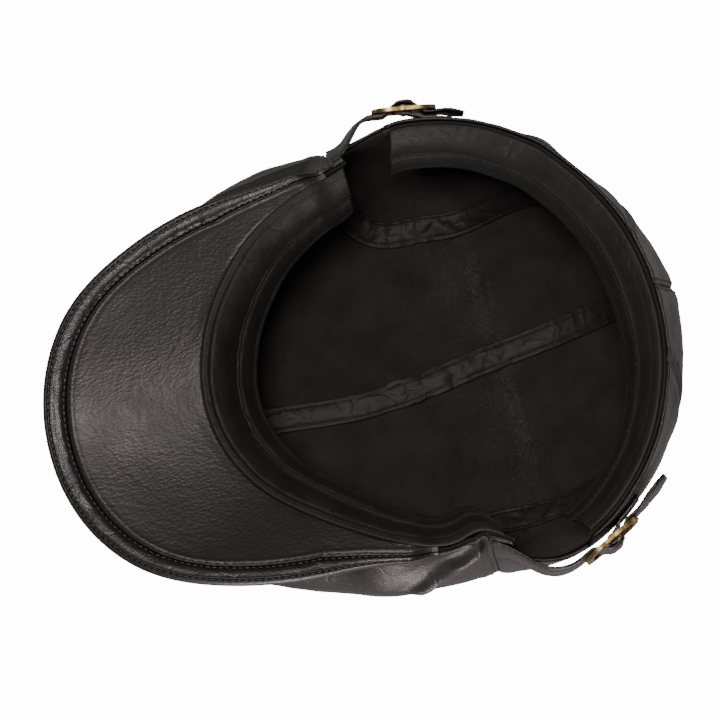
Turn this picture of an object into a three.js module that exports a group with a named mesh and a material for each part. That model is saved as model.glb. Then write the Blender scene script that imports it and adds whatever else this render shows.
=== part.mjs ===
// A leather flat cap lying upside down on its crown: millimetres, +Z up, +Y to the back of the cap.
// The origin is the middle of the flattened crown, on the surface that the cap lies on.
import * as THREE from "three";

// Driving dimensions: reaches are measured out from the upright axis through the origin
const RIM_REACH = 97;
const RIM_HEIGHT = 106;
const BULGE_REACH = 110;
const BULGE_HEIGHT = 62;
const BASE_REACH = 60;
const VISOR_DEPTH = 62;
const VISOR_RISE = 10.5;
const VISOR_ARC = 74;
const SEAT_RAMP = 8;
const BORDER_WIDTH = 9.5;
const BORDER_BEAD = 0.9;
const LEATHER = 1.4;
const LINING = 1.0;
const COVER = 1.5;
const BAND_WIDTH = 31;
const BAND_WALL = 1.5;
const BAND_ROLL = 2.6;
const TAPE_WIDTH = 11;
const TAPE_WALL = 0.9;
const STRAP_WIDTH = 15;
const STRAP_WALL = 1.4;
const STRAP_TAIL = 17;
const STRAP_DROP = 2;
const STRAP_BOW = 7;
const BUCKLE_LENGTH = 26;
const BUCKLE_RIM = 2.8;
const BUCKLE_WALL = 1.6;
const BUCKLE_BAR = 1.4;
const TAB_WALL = 0.9;
const TAB_LENGTH = 19;
const TAB_WIDTH = 11;
const NOTCH_DEPTH = 19;
const NOTCH_CORNER = 1.2;
const FOLD_DEPTH = 9;
const FRONT_SKEW = 5.5;
const CLEARANCE = 0.3;

// The leather stands on its edge between the flat base (share 0 to BASE_SHARE), the widest line
// (BULGE_SHARE) and the rim (share 1)
const BASE_SHARE = 0.42;
const BULGE_SHARE = 0.74;

// Sections of the crown from the front (0 degrees) round either side to the back (180). Each entry is
// a share of its named size, and launch is how steeply the leather leaves the rim, in degrees.
const SECTIONS = [
  { angle: 0, rim: 0.912, height: 0.59, launch: 65, bulge: 1.164, rise: 0.52, base: 1.43, bandIn: 0.65 },
  { angle: 22.5, rim: 0.89, height: 0.618, launch: 65, bulge: 1.155, rise: 0.52, base: 1.4, bandIn: 0.63 },
  { angle: 45, rim: 0.845, height: 0.675, launch: 62, bulge: 1.01, rise: 0.58, base: 1.17, bandIn: 0.56 },
  { angle: 67.5, rim: 0.825, height: 0.727, launch: 60, bulge: 0.895, rise: 0.68, base: 1.03, bandIn: 0.45 },
  { angle: 90, rim: 0.866, height: 0.793, launch: 70, bulge: 0.86, rise: 0.77, base: 1.0, bandIn: 0.35 },
  { angle: 112.5, rim: 1.0, height: 0.868, launch: 80, bulge: 0.905, rise: 0.87, base: 1.06, bandIn: 0.3 },
  { angle: 135, rim: 1.02, height: 0.939, launch: 76, bulge: 0.955, rise: 0.95, base: 1.0, bandIn: 0.28 },
  { angle: 157.5, rim: 1.01, height: 0.986, launch: 70, bulge: 0.985, rise: 1.0, base: 0.82, bandIn: 0.28 },
  { angle: 180, rim: 1.0, height: 1.0, launch: 70, bulge: 1.0, rise: 1.0, base: 0.75, bandIn: 0.3 },
];

// Shape of the visor by angle: how far it stands out and how far its edge rises
const VISOR = [
  { angle: 0, out: 1.0, rise: 0.6 },
  { angle: 12, out: 0.96, rise: 0.75 },
  { angle: 24, out: 0.823, rise: 1.0 },
  { angle: 32, out: 0.653, rise: 1.0 },
  { angle: 42, out: 0.458, rise: 0.9 },
  { angle: 50, out: 0.318, rise: 0.65 },
  { angle: 62, out: 0.134, rise: 0.3 },
  { angle: 74, out: 0.045, rise: 0.1 },
];

// Dents and puffs of the soft leather: where, how wide in degrees, at what share up the wall
const FOLDS = [
  { angle: 96, spread: 9, share: 1.0, band: 0.3, push: -1 },
  { angle: -99, spread: 9, share: 1.0, band: 0.3, push: 0.5 },
  { angle: -136, spread: 5, share: 0.9, band: 0.08, push: 0.3 },
  { angle: 66, spread: 8, share: 0.86, band: 0.1, push: 0.35 },
  { angle: 82, spread: 6, share: 0.84, band: 0.1, push: -0.35 },
  { angle: 45, spread: 26, share: 0.74, band: 0.3, push: -0.55 },
  { angle: -58, spread: 24, share: 0.74, band: 0.3, push: 0.6 },
  { angle: -146, spread: 24, share: 0.74, band: 0.3, push: -0.3 },
];

// Levels of the wall where its section bends; a panel stops each at its own edges
const LEVELS = [0, BASE_SHARE, 0.5, 0.58, 0.66, BULGE_SHARE, 0.8, 0.87, 0.94, 1];

// Each side seam drops from the rim to the base, runs back along it to its lowest place, and climbs to
// the back rim. It crosses the levels one by one. Along runs from its front end to its back end.
const LEFT_LOWEST = 0.2;
const LEFT_SEAM = [
  { along: 0, share: 1.0 },
  { along: 0.006, share: 0.94 },
  { along: 0.011, share: 0.87 },
  { along: 0.016, share: 0.8 },
  { along: 0.021, share: BULGE_SHARE },
  { along: 0.03, share: 0.66 },
  { along: 0.042, share: 0.58 },
  { along: 0.07, share: 0.5 },
  { along: LEFT_LOWEST, share: 0.45 },
  { along: 0.36, share: 0.46 },
  { along: 0.5, share: 0.5 },
  { along: 0.62, share: 0.58 },
  { along: 0.72, share: 0.66 },
  { along: 0.8, share: BULGE_SHARE },
  { along: 0.86, share: 0.8 },
  { along: 0.92, share: 0.87 },
  { along: 0.965, share: 0.94 },
  { along: 1, share: 1.0 },
];
const RIGHT_LOWEST = 0.15;
const RIGHT_SEAM = [
  { along: 0, share: 1.0 },
  { along: 0.006, share: 0.94 },
  { along: 0.011, share: 0.87 },
  { along: 0.016, share: 0.8 },
  { along: 0.021, share: BULGE_SHARE },
  { along: 0.028, share: 0.66 },
  { along: 0.038, share: 0.58 },
  { along: 0.055, share: 0.5 },
  { along: RIGHT_LOWEST, share: 0.484 },
  { along: 0.26, share: 0.5 },
  { along: 0.455, share: 0.552 },
  { along: 0.55, share: 0.58 },
  { along: 0.635, share: 0.62 },
  { along: 0.72, share: 0.66 },
  { along: 0.8, share: BULGE_SHARE },
  { along: 0.86, share: 0.8 },
  { along: 0.92, share: 0.87 },
  { along: 0.965, share: 0.94 },
  { along: 1, share: 1.0 },
];

// The centre tape's middle line on the crown seen as a disk: shares towards the back and the right
const CENTRE_TAPE = [
  { back: -0.6, right: 0.004 },
  { back: -0.327, right: 0.014 },
  { back: -0.18, right: 0.03 },
  { back: -0.05, right: 0.036 },
  { back: 0.13, right: 0.018 },
  { back: 0.307, right: -0.008 },
  { back: 0.456, right: -0.027 },
  { back: 0.6, right: -0.037 },
  { back: 0.93, right: -0.05 },
];

// Seams, slits and straps differ between the two sides of the cap as it lies. Places are angles from
// the front, tail is a share of STRAP_TAIL, and flare is how far it lifts per millimetre.
const SIDES = [
  {
    name: "left",
    sign: -1,
    seam: 83,
    seamBack: 165,
    seamRows: LEFT_SEAM,
    lowest: LEFT_LOWEST,
    notch: 87,
    notchBack: 100,
    bar: 104.5,
    bow: 0.1,
    tail: 0.6,
    flare: -0.03,
  },
  {
    name: "right",
    sign: 1,
    seam: 95,
    seamBack: 162,
    seamRows: RIGHT_SEAM,
    lowest: RIGHT_LOWEST,
    notch: 100.5,
    notchBack: 118,
    bar: 121,
    bow: 0.3,
    tail: 1,
    flare: 0.12,
  },
];

const LEATHER_FINISH = { color: 0x17181b, roughness: 0.42, metalness: 0 };
const GRAIN_FINISH = { color: 0x1a1918, roughness: 0.48, metalness: 0 };
const CLOTH_FINISH = { color: 0x141210, roughness: 0.95, metalness: 0 };
const SATIN_FINISH = { color: 0x1b1716, roughness: 0.6, metalness: 0 };
const BRASS_FINISH = { color: 0x8a7440, roughness: 0.38, metalness: 0.9 };

const radians = THREE.MathUtils.degToRad;
const cap = new THREE.Group();

function add(name, geometry, finish) {
  const mesh = new THREE.Mesh(geometry, new THREE.MeshStandardMaterial(finish));
  mesh.name = name;
  cap.add(mesh);
}

// Smooth curve through one column of a table whose rows are ordered by key
function read(rows, key, column, at) {
  const last = rows.length - 1;
  const where = THREE.MathUtils.clamp(at, rows[0][key], rows[last][key]);
  let i = 0;
  while (i < last - 1 && where > rows[i + 1][key]) i += 1;
  const slope = (n) => {
    const a = rows[Math.max(n - 1, 0)];
    const b = rows[Math.min(n + 1, last)];
    return (b[column] - a[column]) / (b[key] - a[key]);
  };
  const step = rows[i + 1][key] - rows[i][key];
  const t = (where - rows[i][key]) / step;
  const ease = t * t * (3 - 2 * t);
  const bend = t * (1 - t) * step;
  const line = rows[i][column] + (rows[i + 1][column] - rows[i][column]) * ease;
  return line + bend * ((1 - t) * slope(i) - t * slope(i + 1));
}

// The table by angle is mirrored, so its slope at the front and at the back is none
function section(column, angle) {
  const turn = Math.abs(THREE.MathUtils.euclideanModulo(angle + 180, 360) - 180);
  const mirrored = [
    { ...SECTIONS[1], angle: -SECTIONS[1].angle },
    ...SECTIONS,
    { ...SECTIONS.at(-2), angle: 360 - SECTIONS.at(-2).angle },
  ];
  return read(mirrored, "angle", column, turn);
}

function foldPush(angle, share) {
  let push = 0;
  for (const fold of FOLDS) {
    const turn = THREE.MathUtils.euclideanModulo(angle - fold.angle + 180, 360) - 180;
    push += fold.push * Math.exp(-((turn / fold.spread) ** 2) - ((share - fold.share) / fold.band) ** 2);
  }
  return push * FOLD_DEPTH * THREE.MathUtils.smoothstep(share, BASE_SHARE, BULGE_SHARE);
}

// The cap's front half lies a little to the left of its back half
function skewed(x, y, z) {
  const shift = FRONT_SKEW * (1 - THREE.MathUtils.smoothstep(y, -BASE_REACH, BASE_REACH));
  return new THREE.Vector3(x - shift, y, z);
}

function polar(angle, reach, z) {
  return skewed(reach * Math.sin(radians(angle)), -reach * Math.cos(radians(angle)), z);
}

function rimReach(angle) {
  return RIM_REACH * section("rim", angle) + foldPush(angle, 1);
}

function rimHeight(angle) {
  return RIM_HEIGHT * section("height", angle);
}

// A point of the crown's outer face
function crownPoint(angle, share) {
  const base = BASE_REACH * section("base", angle);
  if (share <= BASE_SHARE) return polar(angle, (base * share) / BASE_SHARE, 0);
  const bulge = BULGE_REACH * section("bulge", angle);
  const level = BULGE_HEIGHT * section("rise", angle);
  if (share <= BULGE_SHARE) {
    const turn = ((share - BASE_SHARE) / (BULGE_SHARE - BASE_SHARE)) * (Math.PI / 2);
    const reach = base + (bulge - base) * Math.sin(turn);
    return polar(angle, reach + foldPush(angle, share), level * (1 - Math.cos(turn)));
  }
  const rim = RIM_REACH * section("rim", angle);
  const height = rimHeight(angle);
  const launch = radians(section("launch", angle));
  const pull = 0.45 * Math.hypot(rim - bulge, height - level);
  const wall = new THREE.CubicBezierCurve(
    new THREE.Vector2(bulge, level),
    new THREE.Vector2(bulge, level + 0.45 * (height - level)),
    new THREE.Vector2(rim + pull * Math.cos(launch), height - pull * Math.sin(launch)),
    new THREE.Vector2(rim, height),
  );
  const at = wall.getPoint((share - BULGE_SHARE) / (1 - BULGE_SHARE));
  return polar(angle, at.x + foldPush(angle, share), at.y);
}

function crownNormal(angle, share) {
  if (share <= BASE_SHARE) return new THREE.Vector3(0, 0, -1);
  const round = crownPoint(angle + 0.2, share).sub(crownPoint(angle - 0.2, share));
  const up = crownPoint(angle, share + 0.002).sub(crownPoint(angle, share - 0.002));
  return round.cross(up).normalize();
}

function crownInside(angle, share, depth) {
  return crownPoint(angle, share).addScaledVector(crownNormal(angle, share), -depth);
}

function between(from, to, count, ease = (t) => t) {
  return Array.from({ length: count + 1 }, (_, k) => from + (to - from) * ease(k / count));
}

// Closed body between two faces that are given on the same grid. The outer face is seen from outside
// with columns running to the right and rows running up, and flip turns the facets of a column round.
function wall(outer, inner, { ring = false, flip = () => false } = {}) {
  const columns = outer.length;
  const rows = outer[0].length;
  const corners = [];
  const quad = (a, b, c, d) => corners.push(a, b, c, a, c, d);
  const last = ring ? columns : columns - 1;
  for (let i = 0; i < last; i += 1) {
    const n = (i + 1) % columns;
    for (let j = 0; j < rows - 1; j += 1) {
      const front = [outer[i][j], outer[n][j], outer[n][j + 1], outer[i][j + 1]];
      const back = [inner[n][j + 1], inner[n][j], inner[i][j], inner[i][j + 1]];
      if (flip(i)) {
        quad(front[1], front[2], front[3], front[0]);
        quad(back[1], back[2], back[3], back[0]);
      } else {
        quad(...front);
        quad(...back);
      }
    }
    quad(outer[i][0], inner[i][0], inner[n][0], outer[n][0]);
    quad(outer[i][rows - 1], outer[n][rows - 1], inner[n][rows - 1], inner[i][rows - 1]);
  }
  if (!ring) {
    for (let j = 0; j < rows - 1; j += 1) {
      quad(outer[0][j], outer[0][j + 1], inner[0][j + 1], inner[0][j]);
      quad(outer[last][j], inner[last][j], inner[last][j + 1], outer[last][j + 1]);
    }
  }
  return solidFrom(corners);
}

// Triangles whose corners have run together are left out
function solidFrom(corners) {
  const kept = [];
  for (let k = 0; k < corners.length; k += 3) {
    const [a, b, c] = corners.slice(k, k + 3);
    const thin = Math.min(a.distanceTo(b), b.distanceTo(c), c.distanceTo(a)) < 1e-3;
    if (!thin) kept.push(a, b, c);
  }
  const geometry = new THREE.BufferGeometry().setFromPoints(kept);
  geometry.computeVertexNormals();
  return geometry;
}

// Closed section loops joined one after the next, with flat ends. flat gives each loop's 2D shape.
function loft(loops, flat) {
  const corners = [];
  const size = loops[0].length;
  for (let i = 0; i < loops.length - 1; i += 1) {
    for (let j = 0; j < size; j += 1) {
      const n = (j + 1) % size;
      corners.push(loops[i][j], loops[i + 1][n], loops[i][n]);
      corners.push(loops[i][j], loops[i + 1][j], loops[i + 1][n]);
    }
  }
  const first = loops[0];
  const end = loops.at(-1);
  for (const [a, b, c] of THREE.ShapeUtils.triangulateShape(flat[0], [])) {
    corners.push(first[a], first[b], first[c]);
  }
  for (const [a, b, c] of THREE.ShapeUtils.triangulateShape(flat[1], [])) {
    corners.push(end[a], end[c], end[b]);
  }
  return solidFrom(corners);
}

// Share up the wall where the leather ends: the rim, or the bottom of the strap slit
function topShare(side, turn) {
  const perShare = (RIM_HEIGHT - BULGE_HEIGHT) / (1 - BULGE_SHARE);
  const smooth = THREE.MathUtils.smoothstep;
  const open = smooth(turn, side.notch, side.notch + NOTCH_CORNER);
  const shut = smooth(turn, side.notchBack - NOTCH_CORNER, side.notchBack);
  return 1 - (NOTCH_DEPTH / perShare) * (open - shut);
}

function seamShare(side, turn) {
  if (turn <= side.seam || turn >= side.seamBack) return 1;
  return read(side.seamRows, "along", "share", (turn - side.seam) / (side.seamBack - side.seam));
}

function seamLowest(side) {
  return THREE.MathUtils.lerp(side.seam, side.seamBack, side.lowest);
}

// Angles from front to back on one side: where the seam crosses a level, and at the slit's corners
function halfTurns(side) {
  const seam = side.seamRows.map((row) => THREE.MathUtils.lerp(side.seam, side.seamBack, row.along));
  const slit = [side.notch, side.notch + NOTCH_CORNER, side.notchBack - NOTCH_CORNER, side.notchBack];
  const middle = between(side.notch + NOTCH_CORNER, side.notchBack - NOTCH_CORNER, 3).slice(1, -1);
  const plain = [...between(0, side.seam, 12), ...between(side.seamBack, 180, 3)];
  const turns = [...plain, ...seam, ...slit, ...middle];
  turns.sort((a, b) => a - b);
  return turns.filter((turn, k) => k === 0 || turn - turns[k - 1] > 0.1);
}

const COLUMNS = [
  ...halfTurns(SIDES[0]).slice(0, -1).reverse().map((turn) => -turn),
  ...halfTurns(SIDES[1]).slice(1),
];

function bracket(list, at) {
  let i = 0;
  while (i < list.length - 2 && at >= list[i + 1]) i += 1;
  return { i, t: (at - list[i]) / (list[i + 1] - list[i]) };
}

const knots = new Map();

function knot(column, level, depth) {
  const key = `${column} ${level} ${depth}`;
  if (!knots.has(key)) {
    const angle = column < 0 ? -180 : COLUMNS[column];
    knots.set(key, crownInside(angle, LEVELS[level], depth));
  }
  return knots.get(key);
}

// Facets are cut along the diagonal that the seam follows, up to the back or down to the front
function turned(angle) {
  const side = SIDES[angle < 0 ? 0 : 1];
  const turn = Math.abs(angle);
  return angle < 0 !== (turn > side.seam && turn < seamLowest(side));
}

// A point of the crown's flat facets, at a depth below the outer face. Every layer uses the same
// facets, so the layers keep their gap.
function facetPoint(angle, share, depth) {
  const turn = THREE.MathUtils.euclideanModulo(angle + 180, 360) - 180;
  const signed = turn === -180 ? 180 : turn;
  const before = signed < COLUMNS[0];
  const column = before
    ? { i: -1, t: (signed + 180) / (COLUMNS[0] + 180) }
    : bracket(COLUMNS, signed);
  const level = bracket(LEVELS, share);
  if (level.i === 0) {
    const rim = knot(column.i, 1, depth).clone().lerp(knot(column.i + 1, 1, depth), column.t);
    return knot(0, 0, depth).clone().lerp(rim, level.t);
  }
  const flip = turned(signed);
  const t = flip ? 1 - column.t : column.t;
  const corner = (across, up) => knot(column.i + (flip ? 1 - across : across), level.i + up, depth);
  const bend = t < level.t ? corner(0, 1) : corner(1, 0);
  const sum = corner(0, 0).clone().multiplyScalar(1 - Math.max(t, level.t));
  sum.addScaledVector(bend, Math.abs(t - level.t));
  return sum.addScaledVector(corner(1, 1), Math.min(t, level.t));
}

function grid(turns, rows, point) {
  return turns.map((turn) => rows.map((row) => point(turn, row)));
}

// Turns run the other way on the left side, so its columns are reversed to face out
function panel(side, turns, rows, place, shift = 0) {
  const ordered = side.sign > 0 ? turns : [...turns].reverse();
  const face = (depth) =>
    grid(ordered, rows, (turn, row) => {
      const [angle, share] = place(turn, row);
      const at = facetPoint(side.sign * angle, share, depth);
      return at.setX(at.x + side.sign * shift);
    });
  const flip = (column) => turned((side.sign * (ordered[column] + ordered[column + 1])) / 2);
  return wall(face(0), face(LEATHER), { flip });
}

const SEAM_GAP_DEGREES = 0.3;
const SEAM_GAP_SHARE = 0.002;
const LINING_GAP = 0.4;
const INSIDE = LEATHER + LINING_GAP + LINING + CLEARANCE;
const VISOR_WALL = 2 * COVER + CLEARANCE;

function addCrown(side) {
  const turns = halfTurns(side);
  const top = (turn, level) => [turn, Math.min(level, seamShare(side, turn))];
  add(`crown_top_${side.name}`, panel(side, turns, LEVELS, top, CLEARANCE / 2), LEATHER_FINISH);

  const inner = turns.filter((turn) => turn >= side.seam && turn <= side.seamBack);
  const edge = (turn, level) => {
    const low = Math.min(seamShare(side, turn) + SEAM_GAP_SHARE, 1);
    if (level > low) return [turn, Math.max(low, Math.min(level, topShare(side, turn)))];
    return [turn + SEAM_GAP_DEGREES * Math.sign(seamLowest(side) - turn), low];
  };
  add(`crown_side_${side.name}`, panel(side, inner, LEVELS.slice(2), edge), LEATHER_FINISH);
}

function addLining() {
  const face = (depth) =>
    grid(COLUMNS, LEVELS, (angle, level) => {
      const side = SIDES[angle < 0 ? 0 : 1];
      return facetPoint(angle, Math.min(level, topShare(side, Math.abs(angle))), depth);
    });
  const near = LEATHER + LINING_GAP;
  const flip = (column) => turned(((COLUMNS[column] ?? 0) + (COLUMNS[column + 1] ?? -180)) / 2);
  add("crown_lining", wall(face(near), face(near + LINING), { ring: true, flip }), CLOTH_FINISH);
}

// Height of the visor's inner edge over the leather's, running out just past the visor's ends
function seatHeight(angle) {
  const ramp = 1 - THREE.MathUtils.smoothstep(Math.abs(angle), VISOR_ARC, VISOR_ARC + SEAT_RAMP);
  return (VISOR_WALL + CLEARANCE) * ramp;
}

function bandReach(angle) {
  return rimReach(angle) - INSIDE / Math.sin(radians(section("launch", angle)));
}

// How far the band stops short of a slit, in degrees
const BAND_END = 0.6;

// A padded roll, a stitched groove and a flat hem, from the rim (0) down to the free edge (1)
function bandSwell(v) {
  const groove = 0.62;
  if (v < groove) return BAND_ROLL * Math.sin((Math.PI * v) / groove);
  return 0.25 * BAND_ROLL * Math.sin((Math.PI * (v - groove)) / (1 - groove));
}

function bandPoint(angle, v, depth) {
  const inward = section("bandIn", angle);
  const down = Math.sqrt(1 - inward ** 2);
  const out = depth + bandSwell(v);
  const reach = bandReach(angle) - inward * BAND_WIDTH * v - down * out;
  const height = rimHeight(angle) + seatHeight(angle) - down * BAND_WIDTH * v + inward * out;
  return polar(angle, reach, height);
}

function addBand(name, from, to, steps) {
  const rows = [1, 0.82, 0.7, 0.62, 0.5, 0.32, 0.14, 0];
  const angles = between(from, to, steps);
  const face = (depth) => grid(angles, rows, (angle, v) => bandPoint(angle, v, depth));
  add(name, wall(face(0), face(BAND_WALL)), SATIN_FINISH);
}

// The visor's upper face at one angle: straight out from the rim to the outline
function visorRib(angle) {
  const turn = Math.abs(angle);
  const base = rimHeight(angle) + VISOR_WALL + CLEARANCE;
  const inner = polar(angle, bandReach(angle) + CLEARANCE, base);
  const reach = rimReach(angle) + VISOR_DEPTH * read(VISOR, "angle", "out", turn);
  const outer = polar(angle, reach, base + VISOR_RISE * read(VISOR, "angle", "rise", turn));
  return { inner, outer, width: inner.distanceTo(outer) };
}

function visorPoint(angle, w, h) {
  const rib = visorRib(angle);
  const run = rib.outer.clone().sub(rib.inner).normalize();
  const along = visorRib(angle + 0.5).outer.sub(visorRib(angle - 0.5).outer);
  const up = along.cross(run).negate().normalize();
  if (up.z < 0) up.negate();
  return rib.inner.clone().addScaledVector(run, w).addScaledVector(up, h);
}

function borderWidth(width) {
  return Math.min(BORDER_WIDTH, 0.4 * width);
}

// Bottom sheet, rounded edge, beaded border and the step down to the panel, as width and height
function coverSection(width) {
  const border = borderWidth(width);
  const step = width - border;
  const low = -VISOR_WALL;
  const sheet = low + COVER;
  return [
    [0, low],
    [width / 3, low],
    [(2 * width) / 3, low],
    [width - COVER, low],
    [width - 0.4, low + 0.6],
    [width, low / 2],
    [width - 0.4, -0.6],
    [width - 0.18 * border, 0],
    [width - 0.4 * border, 0.6 * BORDER_BEAD],
    [width - 0.66 * border, BORDER_BEAD],
    [width - 0.9 * border, 0.3 * BORDER_BEAD],
    [step, -0.3],
    [step, sheet],
    [(2 * step) / 3, sheet],
    [step / 3, sheet],
    [0, sheet],
  ];
}

function addVisor() {
  const angles = between(-VISOR_ARC, VISOR_ARC, 30);
  const shapes = angles.map((angle) => coverSection(visorRib(angle).width));
  const loops = shapes.map((shape, k) => shape.map(([w, h]) => visorPoint(angles[k], w, h)));
  const flat = [shapes[0], shapes.at(-1)].map((shape) => shape.map(([w, h]) => new THREE.Vector2(w, h)));
  add("visor_top_cover", loft(loops, flat), LEATHER_FINISH);

  const rows = [1, 0.75, 0.5, 0.25, 0];
  const face = (h) =>
    grid(angles, rows, (angle, row) => {
      const { width } = visorRib(angle);
      return visorPoint(angle, row * (width - borderWidth(width) - CLEARANCE), h);
    });
  add("visor_under_cover", wall(face(0), face(-COVER)), GRAIN_FINISH);
}

// Seen on the crown as a disk: right and back coordinates of one share at one angle
function diskPoint(angle, share) {
  return new THREE.Vector2(share * Math.sin(radians(angle)), -share * Math.cos(radians(angle)));
}

function tapePoint(at, depth) {
  return facetPoint(THREE.MathUtils.radToDeg(Math.atan2(at.x, -at.y)), at.length(), depth);
}

// A strip along a path on the disk, laid on the lining
function addTape(name, path, steps) {
  const near = INSIDE;
  const across = [-0.5, 0, 0.5];
  const face = (depth) =>
    between(0, 1, steps).map((t) => {
      const middle = path(t);
      const ahead = path(t + 0.004).sub(path(t - 0.004)).normalize();
      const aside = new THREE.Vector2(ahead.y, -ahead.x);
      const reach = 0.01;
      const ends = [-reach, reach].map((d) => tapePoint(middle.clone().addScaledVector(aside, d), depth));
      const perMillimetre = (2 * reach) / ends[0].distanceTo(ends[1]);
      return across.map((side) =>
        tapePoint(middle.clone().addScaledVector(aside, side * TAPE_WIDTH * perMillimetre), depth),
      );
    });
  add(name, wall(face(near), face(near + TAPE_WALL)), SATIN_FINISH);
}

function addTapes() {
  const front = CENTRE_TAPE[0].back;
  const back = CENTRE_TAPE.at(-1).back;
  const centre = (t) => {
    const at = THREE.MathUtils.lerp(front, back, t);
    return new THREE.Vector2(read(CENTRE_TAPE, "back", "right", at), at);
  };
  addTape("seam_tape_centre", centre, 34);
  for (const side of SIDES) {
    const ease = (t) => 0.01 + 0.97 * t * (0.3 + 0.7 * t);
    const along = (t) => THREE.MathUtils.lerp(side.seam + 1.2, side.seamBack - 1.2, ease(t));
    const path = (t) => {
      const turn = side.sign > 0 ? along(t) : along(1 - t);
      return diskPoint(side.sign * turn, Math.min(0.96, seamShare(side, turn)));
    };
    addTape(`seam_tape_${side.name}`, path, 24);
  }
}

const STRAP_SHARE = 1 - (STRAP_DROP + STRAP_WIDTH / 2) * ((1 - BULGE_SHARE) / (RIM_HEIGHT - BULGE_HEIGHT));
const TAB_SEAT = 0.5;
const RING_GAP = TAB_SEAT + TAB_WALL + CLEARANCE + STRAP_WALL + CLEARANCE;
const RING_MIDDLE = RING_GAP + BUCKLE_WALL / 2;
const TAB_EYE = Math.hypot(BUCKLE_BAR, BUCKLE_WALL) / 2 + 0.1;
const TAB_LOOP = TAB_EYE + TAB_WALL;
const STRAP_UNDER = RING_GAP - CLEARANCE - STRAP_WALL / 2;
const STRAP_OVER = RING_MIDDLE + TAB_LOOP + CLEARANCE + STRAP_WALL / 2;

// Place on the outside of the crown, mm back from the buckle's bar, with the wall's own directions
function outside(side, mm) {
  const bar = crownPoint(side.sign * side.bar, STRAP_SHARE);
  const angle = side.sign * (side.bar + THREE.MathUtils.radToDeg(mm / Math.hypot(bar.x, bar.y)));
  const out = crownNormal(angle, STRAP_SHARE);
  const up = crownPoint(angle, STRAP_SHARE + 0.01).sub(crownPoint(angle, STRAP_SHARE - 0.01)).normalize();
  return { at: facetPoint(angle, STRAP_SHARE, 0), out, up, round: up.clone().cross(out) };
}

// How far the crown falls away from the buckle's flat plane
function fallAway(side, mm) {
  const bar = outside(side, 0);
  return -outside(side, mm).at.sub(bar.at).dot(bar.out);
}

// How far the strap's middle stands off the crown before and behind the buckle
function strapLift(side, mm, start) {
  const end = BUCKLE_LENGTH / 2;
  const lift = STRAP_UNDER + fallAway(side, Math.sign(mm) * end);
  if (mm > 0) return lift + side.flare * (mm - end);
  const t = (mm - start) / (-end - start);
  const bow = side.bow * STRAP_BOW * Math.sin(Math.PI * THREE.MathUtils.smoothstep(t, 0.12, 1.2)) ** 2;
  return THREE.MathUtils.lerp(CLEARANCE + STRAP_WALL / 2, lift, THREE.MathUtils.smoothstep(t, 0.1, 1)) + bow;
}

// In the buckle the strap runs flat, under the ring's ends and over its bar
function strapPoint(side, mm, start, depth, rise) {
  const end = BUCKLE_LENGTH / 2;
  const bar = outside(side, 0);
  const hump = 1 - THREE.MathUtils.smoothstep(Math.abs(mm), 0.1 * end, 0.72 * end);
  const height = THREE.MathUtils.lerp(STRAP_UNDER, STRAP_OVER, hump) + depth;
  const flat = bar.at.clone().addScaledVector(bar.round, side.sign * mm);
  flat.addScaledVector(bar.out, height).addScaledVector(bar.up, rise);
  if (Math.abs(mm) <= end) return flat;
  const near = outside(side, mm);
  near.at.addScaledVector(near.out, strapLift(side, mm, start) + depth).addScaledVector(near.up, rise);
  return flat.lerp(near.at, THREE.MathUtils.smoothstep(Math.abs(mm), end, 1.6 * end));
}

function addStrap(side) {
  const reach = crownPoint(side.sign * side.bar, STRAP_SHARE);
  const start = -radians(side.bar - side.seam - 1.5) * Math.hypot(reach.x, reach.y);
  const end = BUCKLE_LENGTH / 2;
  const tip = end + side.tail * STRAP_TAIL;
  const stops = [
    ...between(start, -end, 12),
    ...between(-end, end, 14).slice(1),
    ...between(end, tip, 6).slice(1),
  ];
  const narrow = (mm) => 1 - 0.45 * THREE.MathUtils.smoothstep(mm, tip - 0.3 * STRAP_TAIL, tip);
  const ordered = side.sign > 0 ? stops : stops.reverse();
  const face = (depth) =>
    grid(ordered, [-0.5, 0.5], (mm, row) => {
      return strapPoint(side, mm, start, depth, row * STRAP_WIDTH * narrow(mm));
    });
  add(`strap_${side.name}`, wall(face(STRAP_WALL / 2), face(-STRAP_WALL / 2)), LEATHER_FINISH);
}

// Outline with one corner radius to the right and one to the left, as points all round
function roundedOutline(left, right, halfHeight, rightRadius, leftRadius) {
  const steps = 4;
  const corners = [
    [right - rightRadius, rightRadius - halfHeight, rightRadius],
    [right - rightRadius, halfHeight - rightRadius, rightRadius],
    [left + leftRadius, halfHeight - leftRadius, leftRadius],
    [left + leftRadius, leftRadius - halfHeight, leftRadius],
  ];
  return corners.flatMap(([x, y, radius], corner) =>
    between(corner - 1, corner, steps).map((quarter) => {
      const turn = (quarter * Math.PI) / 2;
      return new THREE.Vector2(x + radius * Math.cos(turn), y + radius * Math.sin(turn));
    }),
  );
}

function placed(geometry, x, y, z, origin) {
  geometry.applyMatrix4(new THREE.Matrix4().makeBasis(x, y, z).setPosition(origin));
  return geometry;
}

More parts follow.
